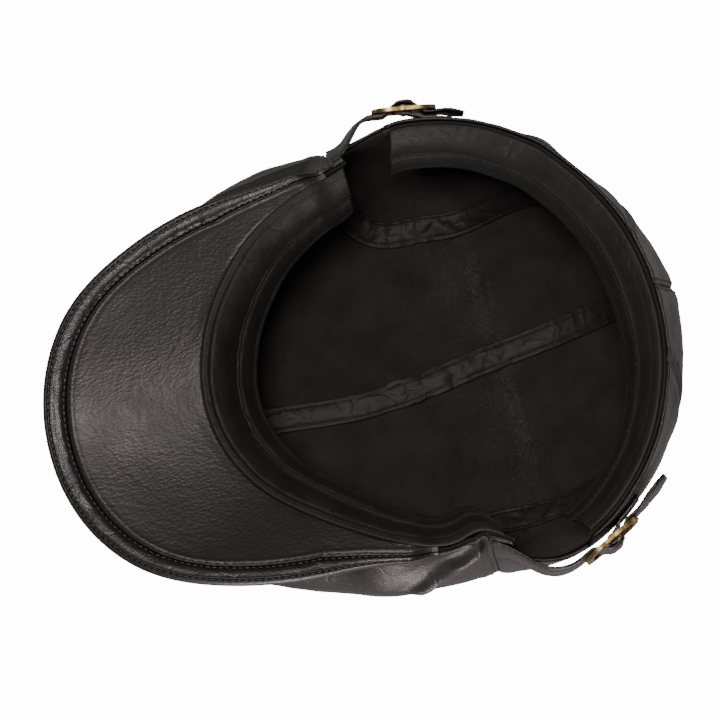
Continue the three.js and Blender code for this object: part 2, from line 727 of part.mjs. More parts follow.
// Flat oval ring with a centre bar; each slot follows the ring's round end
function addBuckle(side) {
  const bevel = 0.3;
  const small = 1;
  const half = BUCKLE_LENGTH / 2 - bevel;
  const slotHalf = STRAP_WIDTH / 2 + 3 * CLEARANCE + bevel;
  const height = slotHalf + BUCKLE_RIM - 2 * bevel;
  const round = 0.55 * half;
  const ring = new THREE.Shape(roundedOutline(-half, half, height, round, round));
  const near = BUCKLE_BAR / 2 - bevel;
  const far = half - BUCKLE_RIM + 2 * bevel;
  const inner = Math.max(round - BUCKLE_RIM + 2 * bevel, small);
  ring.holes.push(new THREE.Path(roundedOutline(near, far, slotHalf, inner, small)));
  ring.holes.push(new THREE.Path(roundedOutline(-far, -near, slotHalf, small, inner)));
  const geometry = new THREE.ExtrudeGeometry(ring, {
    depth: BUCKLE_WALL - 2 * bevel,
    bevelThickness: bevel,
    bevelSize: bevel,
    bevelSegments: 1,
  });
  geometry.translate(0, 0, -BUCKLE_WALL / 2 + bevel);
  const place = outside(side, 0);
  const middle = place.at.clone().addScaledVector(place.out, RING_MIDDLE);
  add(`buckle_${side.name}`, placed(geometry, place.round, place.up, place.out, middle), BRASS_FINISH);
}

// The tab lies on the crown behind the bar and loops round it
function addTab(side) {
  const place = outside(side, 0);
  const along = place.round.clone().multiplyScalar(side.sign);
  const across = along.clone().cross(place.out);
  const foot = (mm, height) => {
    const { at } = outside(side, mm);
    const x = at.clone().sub(place.at).dot(along);
    return [x, TAB_SEAT + height - fallAway(side, mm)];
  };
  const stops = [1, 0.7, 0.4].map((share) => share * TAB_LENGTH);
  const profile = new THREE.Shape();
  profile.moveTo(...foot(stops[0], 0));
  profile.lineTo(...foot(stops[1], 0));
  profile.lineTo(...foot(stops[2], 0));
  profile.absarc(0, RING_MIDDLE, TAB_LOOP, -0.35 * Math.PI, 0.4 * Math.PI, true);
  profile.lineTo(...foot(stops[2], TAB_WALL));
  profile.lineTo(...foot(stops[1], TAB_WALL));
  profile.lineTo(...foot(stops[0], TAB_WALL));
  const eye = new THREE.Path();
  eye.absarc(0, RING_MIDDLE, TAB_EYE, 0, 2 * Math.PI);
  profile.holes.push(eye);
  const geometry = new THREE.ExtrudeGeometry(profile, {
    depth: TAB_WIDTH,
    bevelEnabled: false,
    curveSegments: 8,
  });
  geometry.translate(0, 0, -TAB_WIDTH / 2);
  add(`buckle_tab_${side.name}`, placed(geometry, along, place.out, across, place.at), LEATHER_FINISH);
}

for (const side of SIDES) addCrown(side);
addLining();
const [leftSide, rightSide] = SIDES;
addBand("sweatband_front", BAND_END - leftSide.notch, rightSide.notch - BAND_END, 30);
addBand("sweatband_back", rightSide.notchBack + BAND_END, 360 - leftSide.notchBack - BAND_END, 24);
addVisor();
addTapes();
for (const side of SIDES) {
  addStrap(side);
  addBuckle(side);
  addTab(side);
}

export default cap;
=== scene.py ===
"""Looks of a leather flat cap that lies upside down on its flattened crown.

Sizes are in millimetres, as in the part's source, and every mesh is scaled by MM as it is made.
The frame is +Z up out of the head opening, -Y towards the visor and +X to the side low in the photo.
"""

import math

import bmesh
import bpy
import numpy as np
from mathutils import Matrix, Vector, noise
from mathutils.geometry import tessellate_polygon
from mathutils.kdtree import KDTree


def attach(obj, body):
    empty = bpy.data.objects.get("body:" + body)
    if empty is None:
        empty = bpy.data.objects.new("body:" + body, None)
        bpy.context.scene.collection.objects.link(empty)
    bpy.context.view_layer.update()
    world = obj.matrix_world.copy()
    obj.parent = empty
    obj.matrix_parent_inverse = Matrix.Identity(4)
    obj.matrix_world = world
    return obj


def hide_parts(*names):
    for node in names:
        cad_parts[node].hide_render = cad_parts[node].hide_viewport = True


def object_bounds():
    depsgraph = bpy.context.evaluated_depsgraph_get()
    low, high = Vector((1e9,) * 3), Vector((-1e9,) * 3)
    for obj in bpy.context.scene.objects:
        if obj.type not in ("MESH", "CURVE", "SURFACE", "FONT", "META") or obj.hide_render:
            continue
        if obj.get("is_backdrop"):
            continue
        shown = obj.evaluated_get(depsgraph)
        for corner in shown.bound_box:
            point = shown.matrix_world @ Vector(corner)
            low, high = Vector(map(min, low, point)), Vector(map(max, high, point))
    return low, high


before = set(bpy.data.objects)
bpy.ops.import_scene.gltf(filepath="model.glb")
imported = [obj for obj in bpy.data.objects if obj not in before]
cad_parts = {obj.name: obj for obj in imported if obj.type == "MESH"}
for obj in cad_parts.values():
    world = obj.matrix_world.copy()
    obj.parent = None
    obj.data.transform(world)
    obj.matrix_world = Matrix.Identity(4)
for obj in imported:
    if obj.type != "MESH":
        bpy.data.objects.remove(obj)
frame_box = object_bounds()

MM = 0.001
RIM_REACH = 97.0
RIM_HEIGHT = 106.0
BULGE_REACH = 110.0
BULGE_HEIGHT = 62.0
BASE_REACH = 60.0
VISOR_DEPTH = 62.0
VISOR_RISE = 10.5
VISOR_ARC = 74.0
SEAT_RAMP = 8.0
BORDER_WIDTH = 9.5
LEATHER = 1.4
LINING = 1.0
LINING_GAP = 0.4
COVER = 1.5
CLEARANCE = 0.3
BAND_WIDTH = 31.0
BAND_WALL = 1.5
BAND_ROLL = 2.6
TAPE_WIDTH = 11.0
TAPE_WALL = 0.9
FOLD_DEPTH = 9.0
FRONT_SKEW = 5.5
BASE_SHARE = 0.42
BULGE_SHARE = 0.74
NOTCH_DEPTH = 19.0
NOTCH_CORNER = 1.2
WALL_PULL = 0.45
WELD = 0.02
INSIDE = LEATHER + LINING_GAP + LINING + CLEARANCE
VISOR_WALL = 2 * COVER + CLEARANCE

# Sections of the crown from the front round either side to the back, as shares of the sizes above
SECTION_COLUMNS = ("angle", "rim", "height", "launch", "bulge", "rise", "base", "band_in")
SECTIONS = (
    (0, 0.912, 0.59, 65, 1.164, 0.52, 1.43, 0.65),
    (22.5, 0.89, 0.618, 65, 1.155, 0.52, 1.4, 0.63),
    (45, 0.845, 0.675, 62, 1.01, 0.58, 1.17, 0.56),
    (67.5, 0.825, 0.727, 60, 0.895, 0.68, 1.03, 0.45),
    (90, 0.866, 0.793, 70, 0.86, 0.77, 1.0, 0.35),
    (112.5, 1.0, 0.868, 80, 0.905, 0.87, 1.06, 0.3),
    (135, 1.02, 0.939, 76, 0.955, 0.95, 1.0, 0.28),
    (157.5, 1.01, 0.986, 70, 0.985, 1.0, 0.82, 0.28),
    (180, 1.0, 1.0, 70, 1.0, 1.0, 0.75, 0.3),
)

# The visor from its middle to its corner: angle, how far it stands out, and how much of the full rise
VISOR = (
    (0, 1.0, 0.6), (12, 0.96, 0.75), (24, 0.823, 1.0), (32, 0.653, 1.0),
    (42, 0.458, 0.9), (50, 0.318, 0.65), (62, 0.134, 0.3), (74, 0.045, 0.1),
)

# Dents and puffs: angle, spread in degrees, share up the wall, band of shares, push
FOLDS = (
    (96, 9, 1.0, 0.3, -1.0), (-99, 9, 1.0, 0.3, 0.5), (-136, 5, 0.9, 0.08, 0.3),
    (66, 8, 0.86, 0.1, 0.35), (82, 6, 0.84, 0.1, -0.35), (45, 26, 0.74, 0.3, -0.55),
    (-58, 24, 0.74, 0.3, 0.6), (-146, 24, 0.74, 0.3, -0.3),
)

# The centre tape's middle line on the crown seen as a disk: shares towards the back and the right
CENTRE_TAPE = (
    (-0.6, 0.004), (-0.327, 0.014), (-0.18, 0.03), (-0.05, 0.036), (0.13, 0.018), (0.307, -0.008),
    (0.456, -0.027), (0.6, -0.037), (0.93, -0.05),
)

# Each side seam: how far along from its front to its back end, and the share up the wall
LEFT_SEAM = (
    (0, 1.0), (0.006, 0.94), (0.011, 0.87), (0.016, 0.8), (0.021, 0.74), (0.03, 0.66), (0.042, 0.58),
    (0.07, 0.5), (0.2, 0.45), (0.36, 0.46), (0.5, 0.5), (0.62, 0.58), (0.72, 0.66), (0.8, 0.74),
    (0.86, 0.8), (0.92, 0.87), (0.965, 0.94), (1, 1.0),
)
RIGHT_SEAM = (
    (0, 1.0), (0.006, 0.94), (0.011, 0.87), (0.016, 0.8), (0.021, 0.74), (0.028, 0.66), (0.038, 0.58),
    (0.055, 0.5), (0.15, 0.484), (0.26, 0.5), (0.455, 0.552), (0.55, 0.58), (0.635, 0.62), (0.72, 0.66),
    (0.8, 0.74), (0.86, 0.8), (0.92, 0.87), (0.965, 0.94), (1, 1.0),
)
SIDES = {
    "left": dict(
        sign=-1, seam=83.0, seam_back=165.0, rows=LEFT_SEAM, lowest=0.2,
        notch=87.0, notch_back=100.0, bar=104.5, bow=0.1, tail=0.6, flare=-0.03,
    ),
    "right": dict(
        sign=1, seam=95.0, seam_back=162.0, rows=RIGHT_SEAM, lowest=0.15,
        notch=100.5, notch_back=118.0, bar=121.0, bow=0.3, tail=1.0, flare=0.12,
    ),
}


def smooth(low, high, x):
    t = np.clip((np.asarray(x, float) - low) / (high - low), 0.0, 1.0)
    return t * t * (3 - 2 * t)


def mix(a, b, t):
    return a + (b - a) * t


def bell(x, half, middle=0.0):
    """Bump that is 1 at its middle and falls away on either side of it."""
    return np.exp(-(((x - middle) / half) ** 2))


def faded(along, part):
    """Rises from 0 to 1 over a part of a line at its start, and falls again at its end."""
    return smooth(0.0, part, along) * smooth(0.0, part, 1 - along)


def curve(keys, values, at):
    """Smooth curve through a table, the same as in the part's source."""
    keys, values = np.asarray(keys, float), np.asarray(values, float)
    at = np.clip(at, keys[0], keys[-1])
    i = np.clip(np.searchsorted(keys, at) - 1, 0, len(keys) - 2)
    slope = np.gradient(values)
    slope[1:-1] = (values[2:] - values[:-2]) / (keys[2:] - keys[:-2])
    slope[0] = (values[1] - values[0]) / (keys[1] - keys[0])
    slope[-1] = (values[-1] - values[-2]) / (keys[-1] - keys[-2])
    step = keys[i + 1] - keys[i]
    t = (at - keys[i]) / step
    line = values[i] + (values[i + 1] - values[i]) * t * t * (3 - 2 * t)
    return line + t * (1 - t) * step * ((1 - t) * slope[i] - t * slope[i + 1])


def section(name, angle):
    rows = np.asarray(SECTIONS, float)
    column = rows[:, SECTION_COLUMNS.index(name)]
    keys = np.concatenate([[-rows[1, 0]], rows[:, 0], [360 - rows[-2, 0]]])
    values = np.concatenate([[column[1]], column, [column[-2]]])
    turn = np.abs(np.mod(np.asarray(angle, float) + 180, 360) - 180)
    return curve(keys, values, turn)


def fold_push(angle, share):
    push = 0.0
    for at, spread, up, band, height in FOLDS:
        turn = np.mod(angle - at + 180, 360) - 180
        push = push + height * np.exp(-((turn / spread) ** 2) - ((share - up) / band) ** 2)
    return push * FOLD_DEPTH * smooth(BASE_SHARE, BULGE_SHARE, share)


def polar(angle, reach, z):
    a = np.radians(angle)
    x, y = reach * np.sin(a), -reach * np.cos(a)
    x = x - FRONT_SKEW * (1 - smooth(-BASE_REACH, BASE_REACH, y))
    return np.stack(np.broadcast_arrays(x, y, z), axis=-1)


def angle_of(points):
    """The angle round the crown that polar() gave these points."""
    x = points[..., 0] + FRONT_SKEW * (1 - smooth(-BASE_REACH, BASE_REACH, points[..., 1]))
    return np.degrees(np.arctan2(x, -points[..., 1]))


def rim_reach(angle):
    return RIM_REACH * section("rim", angle) + fold_push(np.asarray(angle, float), 1.0)


def rim_height(angle):
    return RIM_HEIGHT * section("height", angle)


def crown(angle, share):
    """Outer face of the crown, before its fine folds."""
    angle, share = np.broadcast_arrays(np.asarray(angle, float), np.asarray(share, float))
    base = BASE_REACH * section("base", angle)
    bulge = BULGE_REACH * section("bulge", angle)
    level = BULGE_HEIGHT * section("rise", angle)
    turn = np.clip((share - BASE_SHARE) / (BULGE_SHARE - BASE_SHARE), 0, 1) * (np.pi / 2)
    flat = share <= BASE_SHARE
    low_reach = np.where(flat, base * share / BASE_SHARE, base + (bulge - base) * np.sin(turn))
    low_z = np.where(flat, 0.0, level * (1 - np.cos(turn)))
    rim = RIM_REACH * section("rim", angle)
    height = rim_height(angle)
    launch = np.radians(section("launch", angle))
    pull = WALL_PULL * np.hypot(rim - bulge, height - level)
    t = np.clip((share - BULGE_SHARE) / (1 - BULGE_SHARE), 0, 1)
    weights = ((1 - t) ** 3, 3 * t * (1 - t) ** 2, 3 * t * t * (1 - t), t ** 3)
    reaches = (bulge, bulge, rim + pull * np.cos(launch), rim)
    heights = (level, level + WALL_PULL * (height - level), height - pull * np.sin(launch), height)
    high_reach = sum(w * r for w, r in zip(weights, reaches))
    high_z = sum(w * h for w, h in zip(weights, heights))
    above = share > BULGE_SHARE
    reach = np.where(above, high_reach, low_reach) + fold_push(angle, share)
    return polar(angle, reach, np.where(above, high_z, low_z))


def unit(v):
    return v / np.maximum(np.linalg.norm(v, axis=-1, keepdims=True), 1e-12)


def crown_normal(angle, share):
    around = crown(angle + 0.2, share) - crown(angle - 0.2, share)
    up = crown(angle, share + 0.002) - crown(angle, share - 0.002)
    flat = (np.asarray(share) <= BASE_SHARE)[..., None]
    return np.where(flat, np.array([0.0, 0.0, -1.0]), unit(np.cross(around, up)))


def crown_at(angle, share, depth=0.0, relief=None):
    """A point of the crown at a depth below its outer face, with fine folds along the normal."""
    angle, share = np.broadcast_arrays(np.asarray(angle, float), np.asarray(share, float))
    points, normals = crown(angle, share), crown_normal(angle, share)
    lift = np.zeros(angle.shape) if relief is None else relief(points, angle, share)
    return points + normals * (lift - depth)[..., None]


def line_on_crown(angles, shares, step=0.5):
    """A line through rows of angle and share, as close steps of both."""
    angles, shares = np.asarray(angles, float), np.asarray(shares, float)
    rough = crown(angles, shares)
    along = np.concatenate([[0], np.cumsum(np.linalg.norm(np.diff(rough, axis=0), axis=1))])
    at = np.linspace(0, along[-1], max(int(along[-1] / step), 2))
    return np.interp(at, along, angles), np.interp(at, along, shares)


class Near:
    """Distance from many points to the nearest point of a line, and how far along the line that is."""

    def __init__(self, points):
        self.tree = KDTree(len(points))
        for k, point in enumerate(points):
            self.tree.insert(point, k)
        self.tree.balance()
        self.count = len(points)

    def __call__(self, points):
        found = [self.tree.find(p)[1:] for p in points.reshape(-1, 3)]
        shape = points.shape[:-1]
        distance = np.array([f[1] for f in found]).reshape(shape)
        along = np.array([f[0] for f in found]).reshape(shape) / max(self.count - 1, 1)
        return distance, along


def ripple(points, size, seed=0.0):
    """Smooth bumps from about -1 to 1 whose size is in millimetres."""
    flat = points.reshape(-1, 3) / size + seed
    return np.array([noise.noise(p) for p in flat]).reshape(points.shape[:-1]) * 1.6


def ripples(points, rows):
    """Broad and fine ripples added up, from rows of height, size and seed."""
    return sum(height * ripple(points, size, seed) for height, size, seed in rows)


def build_mesh(name, points, faces, uv):
    mesh = bpy.data.meshes.new(name)
    mesh.from_pydata((points * MM).tolist(), [], faces)
    corners = np.zeros(len(mesh.loops), dtype=np.int32)
    mesh.loops.foreach_get("vertex_index", corners)
    layer = mesh.uv_layers.new(name="surface")
    layer.data.foreach_set("uv", (uv[corners] * MM).astype(np.float32).ravel())
    work = bmesh.new()
    work.from_mesh(mesh)
    bmesh.ops.remove_doubles(work, verts=work.verts, dist=WELD * MM)
    work.to_mesh(mesh)
    work.free()
    mesh.shade_smooth()
    return mesh


def loop_faces(columns, size, ring=False):
    """Faces between neighbouring columns, each a closed loop of points."""
    faces = []
    for i in range(columns if ring else columns - 1):
        a, b = i * size, ((i + 1) % columns) * size
        for k in range(size):
            n = (k + 1) % size
            faces.append((a + k, b + k, b + n, a + n))
    return faces


def piece(name, mesh, material, slot, *nodes):
    """Puts a finished mesh into the scene as one piece of the cap."""
    made = bpy.data.objects.new(name, mesh)
    bpy.context.scene.collection.objects.link(made)
    mesh.materials.clear()
    mesh.materials.append(material)
    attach(made, "root")
    if nodes:
        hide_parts(*nodes)
    return made


def edge_roll(outer, inner, before, steps):
    """Half-round edge between the ends of two faces, one row of points for each step."""
    middle, half = (outer + inner) / 2, (outer - inner) / 2
    ahead = unit(outer - before) * np.linalg.norm(half, axis=-1, keepdims=True)
    turns = [math.pi * (k + 1) / (steps + 1) for k in range(steps)]
    return [middle + half * math.cos(t) + ahead * math.sin(t) for t in turns]


def wall_mesh(name, outer, inner, uv, ring=False, top=3, foot=3):
    """Closed wall between two faces on one grid of columns and rows, with rolled edges.

    The outer face is seen from outside with columns to the right and rows up.
    """
    rows = outer.shape[1]
    loop = [outer[:, j] for j in range(rows)]
    loop += edge_roll(outer[:, -1], inner[:, -1], outer[:, -2], top)
    loop += [inner[:, j] for j in range(rows - 1, -1, -1)]
    loop += edge_roll(inner[:, 0], outer[:, 0], inner[:, 1], foot)
    grid = np.stack(loop, axis=1)
    columns, size = grid.shape[:2]
    faces = loop_faces(columns, size, ring)
    if not ring:
        last = (columns - 1) * size
        back = 2 * rows + top - 1
        ends = [(j, j + 1, back - j - 1, back - j) for j in range(rows - 1)]
        if top:
            ends.append(tuple(range(rows - 1, rows + top + 1)))
        if foot:
            ends.append(tuple(range(back, size)) + (0,))
        for end in ends:
            faces.append(end)
            faces.append(tuple(last + k for k in reversed(end)))
    across = [*range(rows), *[rows - 1] * top, *range(rows - 1, -1, -1), *[0] * foot]
    spread = np.stack([uv[:, j] for j in across], axis=1).reshape(-1, 2)
    return build_mesh(name, grid.reshape(-1, 3), faces, spread)


def lengths_uv(face):
    """Map whose u is the length along the columns and v the length up the rows, in millimetres."""
    along = np.linalg.norm(np.diff(face, axis=0), axis=-1).mean(axis=1)
    u = np.concatenate([[0], np.cumsum(along)])[:, None]
    up = np.linalg.norm(np.diff(face, axis=1), axis=-1)
    v = np.concatenate([np.zeros((len(face), 1)), np.cumsum(up, axis=1)], axis=1)
    return np.stack(np.broadcast_arrays(u, v), axis=-1)


def spaced(stops, steps):
    """Values through the stops, with a number of even steps between each two."""
    runs = [np.linspace(a, b, n, endpoint=False) for a, b, n in zip(stops, stops[1:], steps)]
    return np.concatenate([*runs, [stops[-1]]])


# ---- Finishes ----------------------------------------------------------------------------------


def put(tree, kind, inputs=None, **settings):
    """Adds a node; an input given as a socket is linked, and any other value is set."""
    node = tree.nodes.new(kind)
    for name, value in settings.items():
        setattr(node, name, value)
    for key, value in (inputs or {}).items():
        if isinstance(value, bpy.types.NodeSocket):
            tree.links.new(value, node.inputs[key])
        else:
            node.inputs[key].default_value = value
    return node


def sum_of(tree, operation, a, b=0.0, c=0.0, clamp=False):
    node = put(tree, "ShaderNodeMath", {0: a, 1: b, 2: c}, operation=operation, use_clamp=clamp)
    return node.outputs[0]


def band_of(tree, value, low, high, out_low=0.0, out_high=1.0):
    node = put(
        tree, "ShaderNodeMapRange",
        {"Value": value, "From Min": low, "From Max": high, "To Min": out_low, "To Max": out_high},
        interpolation_type="SMOOTHSTEP",
    )
    return node.outputs["Result"]


def vector_of(tree, operation, inputs):
    return put(tree, "ShaderNodeVectorMath", inputs, operation=operation).outputs[0]


def clouds(tree, vector, scale, detail, **more):
    inputs = {"Vector": vector, "Scale": scale, "Detail": detail, **more}
    return put(tree, "ShaderNodeTexNoise", inputs)


def ridges(tree, vector, scale, distortion, direction):
    inputs = {"Vector": vector, "Scale": scale, "Distortion": distortion}
    return put(tree, "ShaderNodeTexWave", inputs, bands_direction=direction).outputs["Fac"]


def blend_colour(tree, factor, a, b):
    node = put(tree, "ShaderNodeMix", {"Factor": factor, 6: a, 7: b}, data_type="RGBA")
    return node.outputs[2]


def new_group(name, inputs, outputs):
    tree = bpy.data.node_groups.new(name, "ShaderNodeTree")
    for label, kind, value in inputs:
        socket = tree.interface.new_socket(name=label, in_out="INPUT", socket_type=kind)
        if value is not None:
            socket.default_value = value
    for label, kind in outputs:
        tree.interface.new_socket(name=label, in_out="OUTPUT", socket_type=kind)
    return tree, tree.nodes.new("NodeGroupInput"), tree.nodes.new("NodeGroupOutput")


FLOAT, COLOUR, VECTOR = "NodeSocketFloat", "NodeSocketColor", "NodeSocketVector"


def hide_grain_group():
    """Pebbled hide: small cells parted by fine valleys, drawn out a little along one way."""
    tree, given, out = new_group(
        "hide_grain",
        [("Vector", VECTOR, None), ("Pebbles per metre", FLOAT, 900.0), ("Drawn out", FLOAT, 1.6),
         ("Wander", FLOAT, 0.0006), ("Fine share", FLOAT, 0.28), ("Crisp", FLOAT, 1.0)],
        [("Height", FLOAT), ("Valley", FLOAT)],
    )
    drift = clouds(tree, given.outputs["Vector"], 420.0, 2.0)
    centred = vector_of(tree, "SUBTRACT", {0: drift.outputs["Color"], 1: (0.5, 0.5, 0.5)})
    pushed = vector_of(tree, "SCALE", {0: centred, "Scale": given.outputs["Wander"]})
    moved = vector_of(tree, "ADD", {0: given.outputs["Vector"], 1: pushed})
    parts = put(tree, "ShaderNodeSeparateXYZ", {"Vector": moved})
    thin = sum_of(tree, "MULTIPLY", parts.outputs["Y"], given.outputs["Drawn out"])
    axes = {"X": parts.outputs["X"], "Y": thin, "Z": parts.outputs["Z"]}
    drawn = put(tree, "ShaderNodeCombineXYZ", axes)
    pebble = {"Vector": drawn.outputs[0], "Scale": given.outputs["Pebbles per metre"]}
    cells = put(tree, "ShaderNodeTexVoronoi", pebble, feature="DISTANCE_TO_EDGE")
    rounded = put(tree, "ShaderNodeTexVoronoi", {**pebble, "Smoothness": 1.0}, feature="SMOOTH_F1")
    edged = band_of(tree, cells.outputs["Distance"], 0.0, 0.32)
    soft = sum_of(tree, "SUBTRACT", 1.0, rounded.outputs["Distance"])
    lean = sum_of(tree, "SUBTRACT", edged, soft)
    domes = sum_of(tree, "MULTIPLY_ADD", lean, given.outputs["Crisp"], soft)
    fine = clouds(tree, given.outputs["Vector"], 2600.0, 3.0)
    height = sum_of(tree, "MULTIPLY_ADD", fine.outputs["Fac"], given.outputs["Fine share"], domes)
    tree.links.new(height, out.inputs["Height"])
    valley = band_of(tree, cells.outputs["Distance"], 0.0, 0.1, 1.0, 0.0)
    tree.links.new(valley, out.inputs["Valley"])
    return tree


def worn_tone_group():
    """Two tones that drift into each other in soft patches, with a finer break-up."""
    tree, given, out = new_group(
        "worn_tone",
        [("Vector", VECTOR, None), ("Dark", COLOUR, None), ("Light", COLOUR, None),
         ("Patch scale", FLOAT, 30.0), ("Contrast", FLOAT, 0.25)],
        [("Color", COLOUR), ("Mask", FLOAT)],
    )
    patch = clouds(tree, given.outputs["Vector"], given.outputs["Patch scale"], 5.0, Roughness=0.6)
    low = sum_of(tree, "SUBTRACT", 0.5, given.outputs["Contrast"])
    high = sum_of(tree, "ADD", 0.5, given.outputs["Contrast"])
    mask = band_of(tree, patch.outputs["Fac"], low, high)
    tone = blend_colour(tree, mask, given.outputs["Dark"], given.outputs["Light"])
    tree.links.new(tone, out.inputs["Color"])
    tree.links.new(mask, out.inputs["Mask"])
    return tree


def crease_group():
    """Soft creases of bent hide or cloth: thin valleys where two drifting fields meet."""
    tree, given, out = new_group(
        "soft_crease", [("Vector", VECTOR, None), ("Scale", FLOAT, 60.0), ("Sharpness", FLOAT, 0.06)],
        [("Height", FLOAT)],
    )
    field = clouds(tree, given.outputs["Vector"], given.outputs["Scale"], 2.0, Distortion=0.4)
    apart = sum_of(tree, "ABSOLUTE", sum_of(tree, "SUBTRACT", field.outputs["Fac"], 0.5))
    tree.links.new(band_of(tree, apart, 0.0, given.outputs["Sharpness"]), out.inputs["Height"])
    return tree


def fine_weave_group():
    """Close weave: crossed threads with a diagonal float, along the piece's own map."""
    tree, given, out = new_group(
        "fine_weave",
        [("Vector", VECTOR, None), ("Threads per metre", FLOAT, 2200.0), ("Slant", FLOAT, 0.6)],
        [("Height", FLOAT), ("Float", FLOAT)],
    )
    slant = {"Vector": given.outputs["Vector"], "Angle": given.outputs["Slant"]}
    turned = put(tree, "ShaderNodeVectorRotate", slant, rotation_type="Z_AXIS")
    threads = sum_of(tree, "MULTIPLY", given.outputs["Threads per metre"], 0.16)
    ribs = ridges(tree, turned.outputs[0], threads, 0.4, "X")
    cross = ridges(tree, given.outputs["Vector"], threads, 0.3, "Y")
    tree.links.new(sum_of(tree, "MULTIPLY_ADD", cross, 0.5, ribs), out.inputs["Height"])
    tree.links.new(ribs, out.inputs["Float"])
    return tree


def nap_group():
    """Brushed cloth: a mat of short fibres with pale ends and a few tangled lumps."""
    tree, given, out = new_group(
        "brushed_nap", [("Vector", VECTOR, None), ("Fibres per metre", FLOAT, 1900.0)],
        [("Height", FLOAT), ("Pale ends", FLOAT)],
    )
    fibres = given.outputs["Fibres per metre"]
    mat = clouds(tree, given.outputs["Vector"], fibres, 4.0, Roughness=0.7, Distortion=1.2)
    lumps = clouds(tree, given.outputs["Vector"], 420.0, 3.0)
    height = sum_of(tree, "MULTIPLY_ADD", lumps.outputs["Fac"], 0.8, mat.outputs["Fac"])
    tree.links.new(height, out.inputs["Height"])
    tips = band_of(tree, mat.outputs["Fac"], 0.46, 0.66)
    ends = sum_of(tree, "MULTIPLY", tips, band_of(tree, lumps.outputs["Fac"], 0.3, 0.6, 0.5, 1.0))
    tree.links.new(ends, out.inputs["Pale ends"])
    return tree


HIDE_GRAIN = hide_grain_group()
WORN_TONE = worn_tone_group()
SOFT_CREASE = crease_group()
FINE_WEAVE = fine_weave_group()
BRUSHED_NAP = nap_group()


def start_material(name, **shader):
    made = bpy.data.materials.new(name)
    made.use_nodes = True
    tree = made.node_tree
    surface = tree.nodes["Principled BSDF"]
    for label, value in shader.items():
        surface.inputs[label.replace("_", " ")].default_value = value
    return made, tree, surface


def placed(tree, kind="Object"):
    return put(tree, "ShaderNodeTexCoord").outputs[kind]


def group_node(tree, group, inputs):
    return put(tree, "ShaderNodeGroup", inputs, node_tree=group)


def two_tones(tree, at, dark, light, patch_scale, contrast):
    return group_node(tree, WORN_TONE, {
        "Vector": at, "Dark": dark, "Light": light, "Patch scale": patch_scale, "Contrast": contrast,
    })


def feed(tree, surface, colour, rough, normal):
    """Gives a shader its colour, roughness and normal; a plain roughness is set on its own socket."""
    tree.links.new(colour, surface.inputs["Base Color"])
    tree.links.new(normal, surface.inputs["Normal"])
    if isinstance(rough, bpy.types.NodeSocket):
        tree.links.new(rough, surface.inputs["Roughness"])
    else:
        surface.inputs["Roughness"].default_value = rough


def bump(tree, height, distance, strength, under=None):
    inputs = {"Height": height, "Distance": distance, "Strength": strength}
    if under is not None:
        inputs["Normal"] = under
    return put(tree, "ShaderNodeBump", inputs).outputs["Normal"]


def grey(value, warm=0.0):
    return (value * (1 + warm), value, value * (1 + 0.1 * warm), 1.0)


# Painted shade: the dark colour that the leather grain's valleys are painted towards
PAINTED_VALLEY_SHADE = grey(0.004, 0.1)


def leather(
    name, dark, light, pebbles, drawn_out, grain_depth, rough, crease_scale=70.0, crease_depth=0.00012,
    wander=0.0006, fine=0.28, crisp=1.0, valley=0.55, shine=0.4,
):
    made, tree, surface = start_material(name, Specular_IOR_Level=shine)
    at = placed(tree)
    tone = two_tones(tree, at, dark, light, 45.0, 0.34)
    grain = group_node(tree, HIDE_GRAIN, {
        "Vector": at, "Pebbles per metre": pebbles, "Drawn out": drawn_out, "Wander": wander,
        "Fine share": fine, "Crisp": crisp,
    })
    crease = group_node(tree, SOFT_CREASE, {"Vector": at, "Scale": crease_scale})
    # Painted shade: the grain's valleys are darkened in colour towards the painted valley shade, and
    # are also made duller
    deep = sum_of(tree, "MULTIPLY", grain.outputs["Valley"], valley)
    shade = blend_colour(tree, deep, tone.outputs["Color"], PAINTED_VALLEY_SHADE)
    amount = band_of(tree, tone.outputs["Mask"], 0.0, 1.0, rough + 0.05, rough - 0.05)
    dull = sum_of(tree, "MULTIPLY_ADD", grain.outputs["Valley"], 0.36 * valley, amount)
    soft = bump(tree, crease.outputs["Height"], crease_depth, 0.6)
    feed(tree, surface, shade, dull, bump(tree, grain.outputs["Height"], grain_depth, 0.8, soft))
    return made


def brushed_cloth(name, dark, light):
    made, tree, surface = start_material(
        name, Specular_IOR_Level=0.2, Sheen_Weight=0.05, Sheen_Roughness=0.5,
        Sheen_Tint=(0.9, 0.86, 0.85, 1),
    )
    at = placed(tree)
    nap = group_node(tree, BRUSHED_NAP, {"Vector": at})
    tone = two_tones(tree, at, dark, light, 60.0, 0.22)
    # Painted light: the mesh's painted-light attribute makes the pale fibre ends show far more along
    # the back ridge and on the lit part of the base. Elsewhere only a tenth of them show, as the
    # cloth's own speckle.
    painted_light = put(tree, "ShaderNodeAttribute", attribute_name="painted_light").outputs["Fac"]
    amount = sum_of(tree, "MULTIPLY_ADD", painted_light, 0.9, 0.1)
    pale = sum_of(tree, "MULTIPLY", nap.outputs["Pale ends"], amount, clamp=True)
    lit = blend_colour(tree, pale, tone.outputs["Color"], grey(0.07, 0.12))
    feed(tree, surface, lit, 0.92, bump(tree, nap.outputs["Height"], 0.00025, 0.7))
    return made


